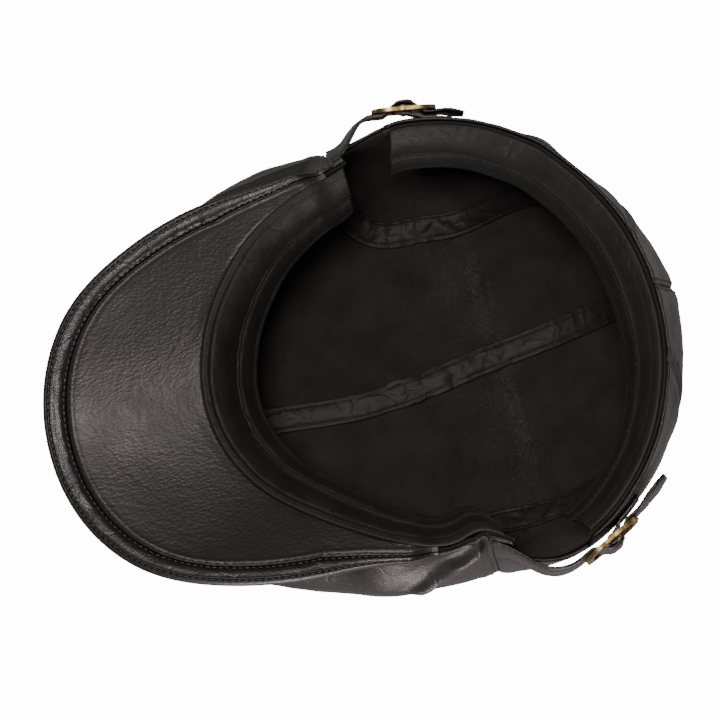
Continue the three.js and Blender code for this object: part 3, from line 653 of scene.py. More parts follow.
def satin(name, dark, light, rough, crease_depth):
    made, tree, surface = start_material(
        name, Specular_IOR_Level=0.3, Sheen_Weight=0.04, Sheen_Roughness=0.4,
        Sheen_Tint=(0.95, 0.9, 0.9, 1),
    )
    at, along = placed(tree), placed(tree, "UV")
    weave = group_node(tree, FINE_WEAVE, {"Vector": along})
    tone = two_tones(tree, at, dark, light, 55.0, 0.25)
    crease = group_node(tree, SOFT_CREASE, {"Vector": at, "Scale": 90.0, "Sharpness": 0.1})
    # Painted sheen: the floats of the weave are painted in the lighter tone, and they are also made
    # glossier
    floats = sum_of(tree, "MULTIPLY", weave.outputs["Float"], 0.35)
    shade = blend_colour(tree, floats, tone.outputs["Color"], light)
    glossy = band_of(tree, weave.outputs["Float"], 0.0, 1.0, rough + 0.08, rough - 0.08)
    soft = bump(tree, crease.outputs["Height"], crease_depth, 0.7)
    feed(tree, surface, shade, glossy, bump(tree, weave.outputs["Height"], 0.00006, 0.6, soft))
    return made


def thread(name, colour, rough):
    made, tree, surface = start_material(name, Specular_IOR_Level=0.5)
    twist = ridges(tree, placed(tree), 900.0, 1.0, "DIAGONAL")
    shade = blend_colour(tree, twist, tuple(0.6 * c for c in colour[:3]) + (1.0,), colour)
    feed(tree, surface, shade, rough, bump(tree, twist, 0.0001, 0.5))
    return made


def aged_brass(name):
    made, tree, surface = start_material(name, Metallic=1.0)
    at = placed(tree)
    tone = two_tones(tree, at, (0.1, 0.07, 0.028, 1), (0.36, 0.26, 0.1, 1), 260.0, 0.16)
    scratch = clouds(tree, at, 1800.0, 3.0)
    amount = band_of(tree, tone.outputs["Mask"], 0.0, 1.0, 0.5, 0.34)
    feed(tree, surface, tone.outputs["Color"], amount, bump(tree, scratch.outputs["Fac"], 0.00004, 0.5))
    return made


SMOOTH_HIDE = leather(
    "smooth_black_leather", grey(0.007, 0.1), grey(0.013, 0.1), 1300.0, 1.0, 0.00005, 0.38
)
BORDER_HIDE = leather(
    "border_leather", grey(0.004, 0.1), grey(0.008, 0.1), 900.0, 1.0, 0.00004, 0.34, fine=0.1
)
GRAINED_HIDE = leather(
    "grained_leather", grey(0.005, 0.2), grey(0.01, 0.2), 1000.0, 0.55, 0.00012, 0.42, 60.0, 0.00004,
    wander=0.0012, fine=0.06, crisp=0.1, valley=0.12, shine=0.36,
)
LINING_CLOTH = brushed_cloth("brushed_lining_cloth", grey(0.012, 0.14), grey(0.021, 0.14))
BAND_SATIN = satin("sweatband_satin", grey(0.005, 0.12), grey(0.011, 0.12), 0.62, 0.0002)
TAPE_SATIN = satin("seam_tape_satin", grey(0.006, 0.12), grey(0.013, 0.12), 0.58, 0.0003)
BLACK_THREAD = thread("black_thread", grey(0.012, 0.08), 0.55)
WAXED_THREAD = thread("waxed_black_thread", grey(0.05, 0.08), 0.36)
BRASS = aged_brass("aged_brass")


# ---- Seams and creases of the leather -----------------------------------------------------------


def seam_share(side, turn):
    rows = np.asarray(side["rows"])
    along = (turn - side["seam"]) / (side["seam_back"] - side["seam"])
    past_ends = (turn <= side["seam"]) | (turn >= side["seam_back"])
    return np.where(past_ends, 1.0, curve(rows[:, 0], rows[:, 1], along))


def top_share(side, turn):
    per_share = (RIM_HEIGHT - BULGE_HEIGHT) / (1 - BULGE_SHARE)
    opened = smooth(side["notch"], side["notch"] + NOTCH_CORNER, turn)
    shut = smooth(side["notch_back"] - NOTCH_CORNER, side["notch_back"], turn)
    return 1 - (NOTCH_DEPTH / per_share) * (opened - shut)


def side_seam(side):
    turns = spaced([side["seam"], side["seam"] + 5, side["seam_back"]], [60, 160])
    return side["sign"] * turns, seam_share(side, turns)


SEAM_LINES = {name: line_on_crown(*side_seam(side)) for name, side in SIDES.items()}
CENTRE_LINES = {
    "front": line_on_crown(np.zeros(60), np.linspace(0, 1, 60)),
    "back": line_on_crown(np.full(60, 180.0), np.linspace(0, 1, 60)),
}
SEAM_NEAR = [Near(crown(*line)) for line in (*SEAM_LINES.values(), *CENTRE_LINES.values())]

# Rows of stitches beside each side seam, on the top panel's side of it, in millimetres
SEAM_ROWS = (-1.5, -3.9)


def row_beside(angles, shares, aside):
    """Line on the plain crown, moved aside from its seam, with the way it faces."""
    a, s = line_on_crown(angles, shares, 1.0)
    at = crown(a, s)
    normal = crown_normal(a, s)
    return at + np.cross(normal, unit(np.gradient(at, axis=0))) * aside, normal, s


ROWS_NEAR = [
    Near(row_beside(*line, SIDES[name]["sign"] * aside)[0])
    for name, line in SEAM_LINES.items() for aside in SEAM_ROWS
]

HIDE_RIPPLES = ((0.45, 24, 3.0), (0.16, 9, 11.0))

# The leather is pinched at a seam, puffs out beside it, and is drawn in where it is stitched
SEAM_PINCH, PINCH_HALF = 0.85, 1.2
SEAM_PUFF, PUFF_HALF, PUFF_AWAY = 0.4, 2.6, 5
ROW_GROOVE, GROOVE_HALF = 0.7, 0.6

# Creases of the outside: height in mm, half width in mm, then the angles and shares they run through
CREASES = (
    (-1.0, 3.4, (92, 87, 81, 76, 70), (1.0, 0.998, 0.975, 0.935, 0.89)),
    (1.3, 3.0, (-84, -77, -64, -51.5), (0.878, 0.888, 0.874, 0.803)),
    (-1.2, 2.6, (-80, -68, -56), (0.93, 0.93, 0.9)),
    (-1.1, 2.6, (-120, -112, -104), (0.72, 0.8, 0.86)),
    (-0.9, 2.4, (-150, -141, -133), (0.66, 0.74, 0.78)),
    (-1.0, 2.6, (128, 137, 148), (0.7, 0.76, 0.8)),
    (-0.9, 2.2, (24, 36, 50), (0.62, 0.66, 0.64)),
    (-0.9, 2.2, (-20, -33, -47), (0.6, 0.63, 0.68)),
    (1.0, 3.4, (150, 163, 175), (0.62, 0.66, 0.64)),
)
CREASE_NEAR = [(height, half, Near(crown(*line_on_crown(a, s)))) for height, half, a, s in CREASES]

# The fold at the right front that leather and lining turn over together: steep before, easy behind
TURNED_LINE = line_on_crown(
    (95, 92, 89.5, 85, 82, 78.5, 75.5, 71), (0.995, 0.985, 0.97, 0.95, 0.91, 0.86, 0.84, 0.82)
)
TURNED_FOLD = Near(crown(*TURNED_LINE))
TURNED_HEIGHT = 4.8
TURNED_BEFORE = 2.2
TURNED_BEHIND = 6.0
TURNED_ANGLES = (55, 112)
TURNED_LOWEST = 0.7
TURNED_END = (91, 95.5)


def turned_fold(points, angle, share):
    """Push of the fold on every layer of the crown; only points near it are measured."""
    lift = np.zeros(points.shape[:-1])
    turn = np.broadcast_to(angle, lift.shape)
    low, high = TURNED_ANGLES
    close = (turn > low) & (turn < high) & (np.broadcast_to(share, lift.shape) > TURNED_LOWEST)
    if close.any():
        d, along = TURNED_FOLD(points[close])
        ridge = np.interp(along, np.linspace(0, 1, len(TURNED_LINE[0])), TURNED_LINE[0])
        half = mix(TURNED_BEFORE, TURNED_BEHIND, smooth(-0.6, 0.6, turn[close] - ridge))
        ends = smooth(0.0, 0.1, along) * smooth(0.0, 0.22, 1 - along)
        lift[close] = TURNED_HEIGHT * ends * (1 - smooth(*TURNED_END, turn[close])) * bell(d, half)
    return lift


def hide_relief(points, angle, share):
    """Soft leather: broad ripples, pinched seams with a puff beside them, and the creases."""
    lift = ripples(points, HIDE_RIPPLES) * smooth(0.2, 0.5, share)
    for near in SEAM_NEAR:
        d, _ = near(points)
        lift = lift - SEAM_PINCH * bell(d, PINCH_HALF) + SEAM_PUFF * bell(d, PUFF_HALF, PUFF_AWAY)
    for near in ROWS_NEAR:
        lift = lift - ROW_GROOVE * bell(near(points)[0], GROOVE_HALF)
    for height, half, near in CREASE_NEAR:
        d, along = near(points)
        lift = lift + height * faded(along, 0.2) * bell(d, half)
    return (lift + turned_fold(points, angle, share)) * smooth(0.02, 0.12, share)


# ---- Crown --------------------------------------------------------------------------------------


def crown_panel(name, side, turns, low, high, rows, foot, shift=0.0, lean=None):
    share = low[:, None] + (high - low)[:, None] * rows[None, :]
    bend = 0.0 if lean is None else lean[:, None] * (1 - rows[None, :])
    angle = side["sign"] * (turns[:, None] + bend)
    outer = crown_at(angle, share, 0.0, hide_relief)
    inner = crown_at(angle, share, LEATHER, turned_fold)
    move = np.array([side["sign"] * shift, 0.0, 0.0])
    if side["sign"] < 0:
        outer, inner = outer[::-1], inner[::-1]
    return wall_mesh(name, outer + move, inner + move, lengths_uv(outer), top=5, foot=foot)


# Degrees behind a seam's front end, and before its back end, where the columns stand close
CLOSE_FRONT = 5.5
CLOSE_BACK = 12
SEAM_ROOM = 0.002
LEAST_RISE = 0.003


def add_crown():
    for name, side in SIDES.items():
        seam, back = side["seam"], side["seam_back"]
        front_end, back_end = seam + CLOSE_FRONT, back - CLOSE_BACK
        turns = spaced([0, seam - 8, seam, front_end, back_end, back, 180], [62, 12, 44, 44, 20, 16])
        rows = spaced([0, BASE_SHARE, 0.8, 1], [16, 52, 36])
        low = np.zeros(len(turns))
        high = seam_share(side, turns)
        top = crown_panel(f"crown_top_{name}", side, turns, low, high, rows, 0, CLEARANCE / 2)
        piece(f"crown_top_panel_{name}", top, SMOOTH_HIDE, "leather", f"crown_top_{name}")

        first, last = side["notch"], side["notch_back"]
        notch = [first, first + NOTCH_CORNER, last - NOTCH_CORNER, last]
        turns = np.unique(np.concatenate([
            spaced([seam + 0.35, front_end, back_end, back - 0.5], [44, 44, 20]),
            spaced(notch, [8, 10, 8]),
        ]))
        low = np.minimum(seam_share(side, turns) + SEAM_ROOM, 0.995)
        high = np.maximum(top_share(side, turns), low + LEAST_RISE)
        lowest = mix(seam, back, side["lowest"])
        lean = 0.3 * np.clip((lowest - turns) / 2, -1, 1)
        lean = lean * smooth(seam + 0.3, seam + 1.2, turns) * smooth(0.4, 1.6, back - turns)
        rows = spaced([0, 1], [64])
        panel = crown_panel(f"crown_side_{name}", side, turns, low, high, rows, 3, 0.0, lean)
        piece(f"crown_side_panel_{name}", panel, SMOOTH_HIDE, "leather", f"crown_side_{name}")


# ---- Seam tapes ---------------------------------------------------------------------------------


def disk_point(angle, share):
    a = np.radians(angle)
    return np.stack([share * np.sin(a), -share * np.cos(a)], axis=-1)


def disk_crown(at, depth):
    x, y = at[..., 0], at[..., 1]
    return crown_at(np.degrees(np.arctan2(x, -y)), np.hypot(x, y), depth)


def side_tape_path(side, t):
    ease = 0.01 + 0.97 * t * (0.3 + 0.7 * t)
    turn = mix(side["seam"] + 1.2, side["seam_back"] - 1.2, ease)
    return disk_point(side["sign"] * turn, np.minimum(0.96, seam_share(side, turn)))


def tape_grid(path, across, depth):
    """A face of a tape laid along its path over the lining: steps along it by places across it."""
    t = np.linspace(0, 1, TAPE_STEPS)
    middle = path(t)
    ahead = unit(path(t + 0.004) - path(t - 0.004))
    aside = np.stack([ahead[:, 1], -ahead[:, 0]], axis=-1)
    ends = [disk_crown(middle + d * aside, INSIDE) for d in (-0.01, 0.01)]
    per_mm = 0.02 / np.linalg.norm(ends[1] - ends[0], axis=-1)
    at = middle[:, None] + aside[:, None] * (across[None, :] * per_mm[:, None])[..., None]
    return disk_crown(at, depth)


def centre_tape_path(t):
    rows = np.asarray(CENTRE_TAPE)
    at = mix(rows[0, 0], rows[-1, 0], t)
    return np.stack([curve(rows[:, 0], rows[:, 1], at), at], axis=-1)


TAPE_HALF = TAPE_WIDTH / 2
TAPE_SIDE = (0.25, 0.5, 0.68, 0.76, 0.84, 0.93, 1)
TAPE_ROWS = np.array([*(-share for share in TAPE_SIDE[::-1]), 0, *TAPE_SIDE]) * TAPE_HALF
TAPE_MIDDLE = len(TAPE_SIDE)
TAPE_STITCHED = (3, 11)
TAPE_SEWN = 0.78
TAPE_STEPS = 220
TAPE_PUFF = 0.55
TAPE_PUCKER = 0.35
TAPE_WAVE = 0.25
TAPE_TURN = 0.5
TAPE_PULL = 0.4
TAPE_LIFT = 0.12


def tape_relief(face, across):
    """Sewn edges pulled down, a soft middle, and puckers that the stitches draw in."""
    run = np.linspace(0, len(face), len(face))[:, None]
    wide = across[None, :] / TAPE_HALF
    sewn = bell(np.abs(wide), 0.1, TAPE_SEWN)
    pucker = ripple(face, 4.5, 5.0)
    soft = TAPE_PUFF * (1 - wide ** 2) + TAPE_PUCKER * pucker * (1 - 0.6 * np.abs(wide))
    long_wave = TAPE_WAVE * np.sin(run / 3.1 + 2.0 * np.sin(run / 17.0))
    part = run / run[-1]
    wander = 0.5 * np.sin(34 * part + 3 * np.sin(9 * part))
    turned = -TAPE_TURN * bell(wide, 0.17, wander)
    turned = turned * smooth(0.25, 0.35, part) * smooth(0.25, 0.4, 1 - part)
    return soft + turned + long_wave * np.abs(wide) - TAPE_PULL * sewn + TAPE_LIFT


def add_tapes():
    paths = {"centre": centre_tape_path}
    for name, side in SIDES.items():
        paths[name] = lambda t, side=side: side_tape_path(side, t)
    for name, path in paths.items():
        low, high = (tape_grid(path, TAPE_ROWS, depth) for depth in (INSIDE, INSIDE + TAPE_WALL))
        top = high + unit(high - low) * tape_relief(high, TAPE_ROWS)[..., None]
        mesh = wall_mesh(f"seam_tape_{name}", low, top, lengths_uv(high))
        piece(f"seam_tape_satin_{name}", mesh, TAPE_SATIN, "satin_cloth", f"seam_tape_{name}")
        yield name, top


# ---- Lining -------------------------------------------------------------------------------------

# Where the base turns up into the back wall, the lining stands in a ridge, and a painted highlight runs
# along it
BACK_RIDGE = 42.5
RIDGE_HALF = 52.0
RIDGE_FADE = 14.0

LINING_RIPPLES = ((0.9, 26, 7.0), (0.4, 11, 1.0), (0.2, 5, 2.0))
LINING_REST = 0.4
LINING_LOWEST = -0.5
LINING_HIGHEST = 3.0
# Painted light: how strongly the lit zone on the flat base before the ridge is painted, and the height
# in mm below which any painted light is put
PAINTED_LIGHT_ON_BASE = 0.45
PAINTED_LIGHT_BELOW = 14

# Folds of the lining seen from inside: height, half width, angles, shares
LINING_FOLDS = (
    (1.5, 3.2, (60, 52, 38), (0.5, 0.42, 0.3)),
    (1.3, 2.6, (78, 66, 50), (0.46, 0.36, 0.24)),
    (-1.0, 3.0, (70, 58, 42), (0.52, 0.42, 0.3)),
    (1.2, 2.8, (100, 112, 140), (0.36, 0.28, 0.2)),
    (1.1, 3.4, (-60, -48, -30), (0.5, 0.4, 0.3)),
    (1.2, 3.0, (-110, -120, -140), (0.5, 0.42, 0.34)),
    (-0.9, 2.8, (-95, -100, -112), (0.6, 0.5, 0.42)),
    (1.0, 2.6, (150, 158, 165), (0.55, 0.45, 0.34)),
    (1.2, 3.2, (20, 24, 30), (0.62, 0.5, 0.36)),
)


def on_ridge(x):
    """Share of the ridge at a place across the cap: all of it, but for its two ends."""
    return 1 - smooth(RIDGE_HALF - RIDGE_FADE, RIDGE_HALF, np.abs(x))


def add_lining(tapes):
    even = np.arange(-180, 180, 1.2)
    corners = []
    for side in SIDES.values():
        for at in (side["notch"], side["notch_back"] - NOTCH_CORNER):
            corners.append(side["sign"] * np.linspace(at, at + NOTCH_CORNER, 7))
    angles = np.unique(np.round(np.concatenate([even, *corners]), 3))
    rows = spaced([0, 0.4, 0.7, 1], [40, 36, 34])
    turn = np.abs(angles)
    high = np.where(angles < 0, top_share(SIDES["left"], turn), top_share(SIDES["right"], turn))
    share = high[:, None] * rows[None, :]
    near = LEATHER + LINING_GAP
    outer = crown_at(angles[:, None], share, near, turned_fold)
    inner = crown_at(angles[:, None], share, near + LINING, turned_fold)
    lift = ripples(inner, LINING_RIPPLES)
    for height, half, a, s in LINING_FOLDS:
        d, along = Near(crown(*line_on_crown(a, s)))(crown(angles[:, None], share))
        lift = lift + height * faded(along, 0.3) * bell(d, half)
    across = inner[..., 0]
    behind = inner[..., 1] - BACK_RIDGE - 1.2 * np.sin(across / 13)
    lift = lift + on_ridge(across) * (1.8 * bell(behind, 2.6) - 0.9 * bell(behind, 3.0, 6))
    lift = np.clip(lift + LINING_REST, LINING_LOWEST, LINING_HIGHEST)
    away = np.full(lift.shape, 1e3)
    for face in tapes:
        away = np.minimum(away, Near(face[:, TAPE_MIDDLE])(inner)[0])
    lift = lift * smooth(TAPE_HALF + 0.4, TAPE_HALF + 5.0, away) - 0.25 * bell(away, 1.5, TAPE_HALF)
    lift = lift * smooth(0.0, 0.1, 1 - rows)[None, :] * smooth(0.0, 0.05, share)
    inner = inner + unit(inner - outer) * lift[..., None]
    mesh = wall_mesh("crown_lining", outer, inner, lengths_uv(outer), ring=True, foot=0)
    spots = np.zeros(3 * len(mesh.vertices), dtype=np.float32)
    mesh.vertices.foreach_get("co", spots)
    x, y, z = spots.reshape(-1, 3).T / MM
    # Painted light: a highlight along the ridge and a lit zone on the base before it, kept to points
    # low down, stored as a point attribute for the cloth
    ridge = bell(y, 4.5, BACK_RIDGE) * on_ridge(x)
    before = PAINTED_LIGHT_ON_BASE * smooth(8, 34, y) * (1 - smooth(40, 50, y)) * smooth(0, 14, np.abs(x))
    painted_light = np.clip(ridge + before, 0, 1) * (z < PAINTED_LIGHT_BELOW)
    mesh.attributes.new("painted_light", "FLOAT", "POINT").data.foreach_set("value", painted_light.astype(np.float32))
    return piece("crown_lining_cloth", mesh, LINING_CLOTH, "lining_cloth", "crown_lining")


# ---- Sweatband ----------------------------------------------------------------------------------


def band_reach(angle):
    return rim_reach(angle) - INSIDE / np.sin(np.radians(section("launch", angle)))


def seat_height(angle):
    turn = np.abs(np.mod(angle + 180, 360) - 180)
    return (VISOR_WALL + CLEARANCE) * (1 - smooth(VISOR_ARC, VISOR_ARC + SEAT_RAMP, turn))


BAND_GROOVE = 0.62
BAND_ROWS = (0.6, 0.665)
BAND_END = 0.6

# What is sewn along the sweatband: height in mm, then half width and place as shares of its width
BAND_PROFILE = (
    (0.35, 0.022, 0.035), (-0.5, 0.02, 0.085), (-0.55, 0.016, BAND_ROWS[0]),
    (-0.55, 0.016, BAND_ROWS[1]), (0.3, 0.014, 0.632), (0.5, 0.022, 0.965), (-0.35, 0.022, 0.91),
)
BAND_FOLDS = 0.45
BAND_DRAWN = 0.3


def band_swell(v):
    roll = BAND_ROLL * np.sin(np.pi * np.clip(v, 0, BAND_GROOVE) / BAND_GROOVE)
    hem = 0.25 * BAND_ROLL * np.sin(np.pi * np.clip(v - BAND_GROOVE, 0, 1) / (1 - BAND_GROOVE))
    return np.where(v < BAND_GROOVE, roll, hem)


def band_point(angle, v, depth, lift=0.0):
    angle, v = np.broadcast_arrays(np.asarray(angle, float), np.asarray(v, float))
    inward = section("band_in", angle)
    down = np.sqrt(1 - inward ** 2)
    out = depth + band_swell(v) + lift
    reach = band_reach(angle) - inward * BAND_WIDTH * v - down * out
    height = rim_height(angle) + seat_height(angle) - down * BAND_WIDTH * v + inward * out
    return polar(angle, reach, height)


def band_relief(face, v):
    """Bound edge, padded roll with drawn folds, double groove, hem and its piped free edge."""
    sewn = sum(height * bell(v, half, place) for height, half, place in BAND_PROFILE)
    padded = np.sin(np.pi * np.clip(v / BAND_GROOVE, 0, 1))
    folds = ripple(face * np.array([1.0, 1.0, 0.35]), 9.0, 21.0) * padded
    drawn = ripple(face * np.array([1.0, 1.0, 0.4]), 3.6, 31.0) * bell(v, 0.12, 0.63)
    return sewn + BAND_FOLDS * folds + BAND_DRAWN * drawn


def add_band(name, node, start, end, steps, relief=1.0):
    angles = np.linspace(start, end, steps)[:, None]
    stops = [1, 0.86, BAND_GROOVE + 0.06, BAND_GROOVE - 0.04, 0.14, 0]
    v = spaced(stops, [12, 14, 12, 26, 14])[None, :]
    outer = band_point(angles, v, 0.0, -band_swell(v) * 0.5)
    plain = band_point(angles, v, BAND_WALL)
    inner = band_point(angles, v, BAND_WALL, relief * band_relief(plain, v))
    mesh = wall_mesh(node, outer, inner, lengths_uv(plain), foot=5)
    return piece(name, mesh, BAND_SATIN, "satin_cloth", node)


# ---- Visor --------------------------------------------------------------------------------------


VISOR_TIP = 81.0
VISOR_ROUND = 140.0
EVENED = (-5, -2.5, 0, 2.5, 5)


def thinned(angle):
    """The visor's thickness as a share, which runs out between its corners and its tucked-in tips."""
    return 1 - 0.93 * smooth(VISOR_ARC - 2, VISOR_TIP, np.abs(angle))


def visor_share(angle, column):
    """A column of the visor's table, evened out over a few degrees either way."""
    rows = np.asarray(VISOR)
    turns = [np.abs(np.abs(angle) + beside) for beside in EVENED]
    return np.mean([curve(rows[:, 0], rows[:, column], turn) for turn in turns], axis=0)


def visor_rib(angle):
    base = rim_height(angle) + VISOR_WALL * thinned(angle) + CLEARANCE
    inner = polar(angle, band_reach(angle) + CLEARANCE, base)
    reach = rim_reach(angle) + VISOR_DEPTH * visor_share(angle, 1) * thinned(angle)
    outer = polar(angle, reach, base + VISOR_RISE * visor_share(angle, 2) * thinned(angle))
    return inner, outer, np.linalg.norm(outer - inner, axis=-1)


def visor_point(angle, w, h):
    """Points of the visor, w outwards from the rim and h above its upper face, for each angle."""
    inner, outer, _ = visor_rib(angle)
    run = unit(outer - inner)
    along = visor_rib(angle + 0.5)[1] - visor_rib(angle - 0.5)[1]
    up = -unit(np.cross(along, run))
    up = np.where(up[..., 2:] < 0, -up, up) * thinned(angle)[:, None]
    return inner[:, None] + run[:, None] * w[..., None] + up[:, None] * h[..., None]


# Border of the visor across its width, from the outer edge in: distance and height in millimetres
BORDER = (
    (0.0, -1.65), (0.12, -0.95), (0.45, -0.3), (0.8, 0.18), (1.2, 0.36), (1.6, 0.22),
    (2.0, -0.12), (2.2, -0.12), (2.55, 0.28), (2.9, 0.44), (3.3, 0.4), (3.7, 0.4), (4.4, 0.5),
    (5.2, 0.6), (6.0, 0.62), (6.8, 0.54), (7.5, 0.3), (8.1, -0.02), (8.5, -0.4), (8.9, -0.8),
    (9.2, -1.2), (9.5, -1.75),
)
BORDER_STEPS = 64
# Its puckers and soft waves: height, size, seed, then half width and distance from the outer edge
BORDER_RIPPLES = ((0.22, 2.4, 9.0, 1.1, 7.8), (0.12, 7.0, 14.0, 2.0, 5.6))
# Shares of the flat faces' width, and distance and height of the turn under the outer edge
FLAT_STEPS = (0, 0.25, 0.5, 0.75, 1)
EDGE_TURN = ((-COVER, 0), (-0.8, 0.12), (-0.35, 0.5), (-0.12, 1.0))


def border_width(width):
    return np.minimum(BORDER_WIDTH, 0.4 * width)


def add_visor():
    angles = np.linspace(-VISOR_TIP, VISOR_TIP, 401)
    width = visor_rib(angles)[2]
    border = border_width(width)
    low = -VISOR_WALL
    sheet = low + COVER
    rows = np.asarray(BORDER)
    fine = np.linspace(0, 1, BORDER_STEPS)
    keys = np.linspace(0, 1, len(rows))
    s, bead = curve(keys, rows[:, 0], fine), curve(keys, rows[:, 1], fine)
    scale = border / BORDER_WIDTH
    w_top = width[:, None] - s[None, :] * scale[:, None]
    h_top = np.broadcast_to(bead, w_top.shape) * np.where(bead > -0.5, np.sqrt(scale)[:, None], 1.0)
    step = (width - border)[:, None]
    foot = np.concatenate([step * k for k in FLAT_STEPS], axis=1)
    turn_w, turn_h = np.array(EDGE_TURN).T
    under = width[:, None] + turn_w[None, :] * np.minimum(1, scale[:, None])
    flat = np.ones((len(angles), len(FLAT_STEPS)))
    w = np.concatenate([foot, under, w_top, foot[:, ::-1]], axis=1)
    h = np.concatenate([flat * low, flat[:, :1] * (low + turn_h), h_top, flat * sheet], axis=1)
    plain = visor_point(angles, w, h)
    soft = np.zeros(w.shape)
    first = len(FLAT_STEPS) + len(EDGE_TURN)
    band = slice(first, first + BORDER_STEPS)
    soft[:, band] = scale[:, None] * sum(
        height * (ripple(plain[:, band], size, seed) * bell(s, half, place)[None, :])
        for height, size, seed, half, place in BORDER_RIPPLES
    )
    points = visor_point(angles, w, h + soft)
    columns, size = points.shape[:2]
    faces = loop_faces(columns, size)
    faces.append(tuple(range(size)))
    faces.append(tuple((columns - 1) * size + k for k in reversed(range(size))))
    u = np.radians(angles)[:, None] * VISOR_ROUND
    spread = np.stack(np.broadcast_arrays(u, w), axis=-1).reshape(-1, 2)
    cover = build_mesh("visor_top_cover", points.reshape(-1, 3), faces, spread)
    piece("visor_cover_and_border", cover, BORDER_HIDE, "leather", "visor_top_cover")

    rows = spaced([1, 0.94, 0.8, 0], [14, 16, 50])
    reach = (width - border - CLEARANCE)[:, None] * rows[None, :]
    edge = (width - border)[:, None] - reach
    top = visor_point(angles, reach, np.zeros(reach.shape))
    sink = -0.55 * bell(edge, 1.0) + 0.12 * bell(edge, 1.0, 2.2)
    lift = 0.35 * ripple(top, 34, 4.0) + 0.1 * ripple(top, 8, 6.0) * bell(edge, 6) + sink
    outer = visor_point(angles, reach, lift * smooth(0, 0.1, rows)[None, :])
    inner = visor_point(angles, reach, np.full(reach.shape, -COVER))
    panel = wall_mesh("visor_under_cover", outer, inner, lengths_uv(outer), top=1)
    piece("visor_grained_panel", panel, GRAINED_HIDE, "grained_leather", "visor_under_cover")


# ---- Straps, buckles and tabs -------------------------------------------------------------------

STRAP_WIDTH = 15.0
STRAP_WALL = 1.4
STRAP_TAIL = 17.0
STRAP_DROP = 2.0
STRAP_BOW = 7.0
BUCKLE_LENGTH = 26.0
BUCKLE_RIM = 2.8
BUCKLE_WALL = 1.6
BUCKLE_BAR = 1.4
TAB_WALL = 0.9
TAB_LENGTH = 19.0
TAB_WIDTH = 11.0
STRAP_SHARE = 1 - (STRAP_DROP + STRAP_WIDTH / 2) * ((1 - BULGE_SHARE) / (RIM_HEIGHT - BULGE_HEIGHT))
TAB_SEAT = 0.5
RING_GAP = TAB_SEAT + TAB_WALL + CLEARANCE + STRAP_WALL + CLEARANCE
RING_MIDDLE = RING_GAP + BUCKLE_WALL / 2
TAB_EYE = math.hypot(BUCKLE_BAR, BUCKLE_WALL) / 2 + 0.1
TAB_LOOP = TAB_EYE + TAB_WALL
STRAP_UNDER = RING_GAP - CLEARANCE - STRAP_WALL / 2
STRAP_OVER = RING_MIDDLE + TAB_LOOP + CLEARANCE + STRAP_WALL / 2
BUCKLE_HALF = BUCKLE_LENGTH / 2
STRAP_SIDE = (0.4, 0.66, 0.74, 0.82, 0.9, 0.96, 1)
STRAP_STITCHED = [3, -4]


def outside(side, mm):
    """A place on the outside of the crown, mm back from the buckle's bar, and the ways of its wall."""
    bar = crown(side["sign"] * side["bar"], STRAP_SHARE)
    angle = side["sign"] * (side["bar"] + np.degrees(mm / math.hypot(bar[0], bar[1])))
    out = crown_normal(angle, STRAP_SHARE)
    up = unit(crown(angle, STRAP_SHARE + 0.01) - crown(angle, STRAP_SHARE - 0.01))
    return crown(angle, STRAP_SHARE), out, up, np.cross(up, out)


def fall_away(side, mm):
    at, out, _, _ = outside(side, 0.0)
    return -(outside(side, mm)[0] - at) @ out


def strap_lift(side, mm, start):
    lift = STRAP_UNDER + fall_away(side, math.copysign(BUCKLE_HALF, mm))
    if mm > 0:
        return lift + side["flare"] * (mm - BUCKLE_HALF)
    t = (mm - start) / (-BUCKLE_HALF - start)
    bow = side["bow"] * STRAP_BOW * math.sin(math.pi * smooth(0.12, 1.2, t)) ** 2
    return mix(CLEARANCE + STRAP_WALL / 2, lift, smooth(0.1, 1, t)) + bow


def strap_frame(side, mm, start):
    """Middle of the strap at mm from the bar, with its outward and upward directions."""
    at, out, up, around = outside(side, 0.0)
    hump = 1 - smooth(0.1 * BUCKLE_HALF, 0.72 * BUCKLE_HALF, abs(mm))
    flat = at + around * side["sign"] * mm + out * mix(STRAP_UNDER, STRAP_OVER, hump)
    if abs(mm) <= BUCKLE_HALF:
        return flat, out, up
    near, near_out, near_up, _ = outside(side, mm)
    near = near + near_out * strap_lift(side, mm, start)
    t = smooth(BUCKLE_HALF, 1.6 * BUCKLE_HALF, abs(mm))
    return mix(flat, near, t), unit(mix(out, near_out, t)), unit(mix(up, near_up, t))


def add_strap(name, side):
    reach = crown(side["sign"] * side["bar"], STRAP_SHARE)
    start = -math.radians(side["bar"] - side["seam"] - 1.5) * math.hypot(reach[0], reach[1])
    tail = BUCKLE_HALF + side["tail"] * STRAP_TAIL
    stops = np.linspace(start, tail, 130)
    if side["sign"] < 0:
        stops = stops[::-1]
    across = np.array([*(-share for share in STRAP_SIDE[::-1]), 0, *STRAP_SIDE])
    sewn = bell(np.abs(across), 0.09, 0.8)
    fat = STRAP_WALL / 2 * (1 + 0.25 * (1 - across ** 2)) - 0.2 * sewn
    rows = []
    for mm in stops:
        middle, out, up = strap_frame(side, mm, start)
        narrow = 1 - 0.45 * smooth(tail - 0.3 * STRAP_TAIL, tail, mm)
        side_on = middle + up * (across * STRAP_WIDTH / 2 * narrow)[:, None]
        rows.append((side_on + out * fat[:, None], side_on - out * fat[:, None]))
    outer, inner = (np.stack([row[k] for row in rows]) for k in (0, 1))
    wear = ripple(outer, 6.0, 17.0)[..., None] * 0.12
    outer = outer + wear * unit(outer - inner)
    mesh = wall_mesh(f"strap_{name}", outer, inner, lengths_uv(outer))
    piece(f"strap_leather_{name}", mesh, BORDER_HIDE, "leather", f"strap_{name}")
    return outer[:, STRAP_STITCHED], unit(outer - inner)[:, STRAP_STITCHED]


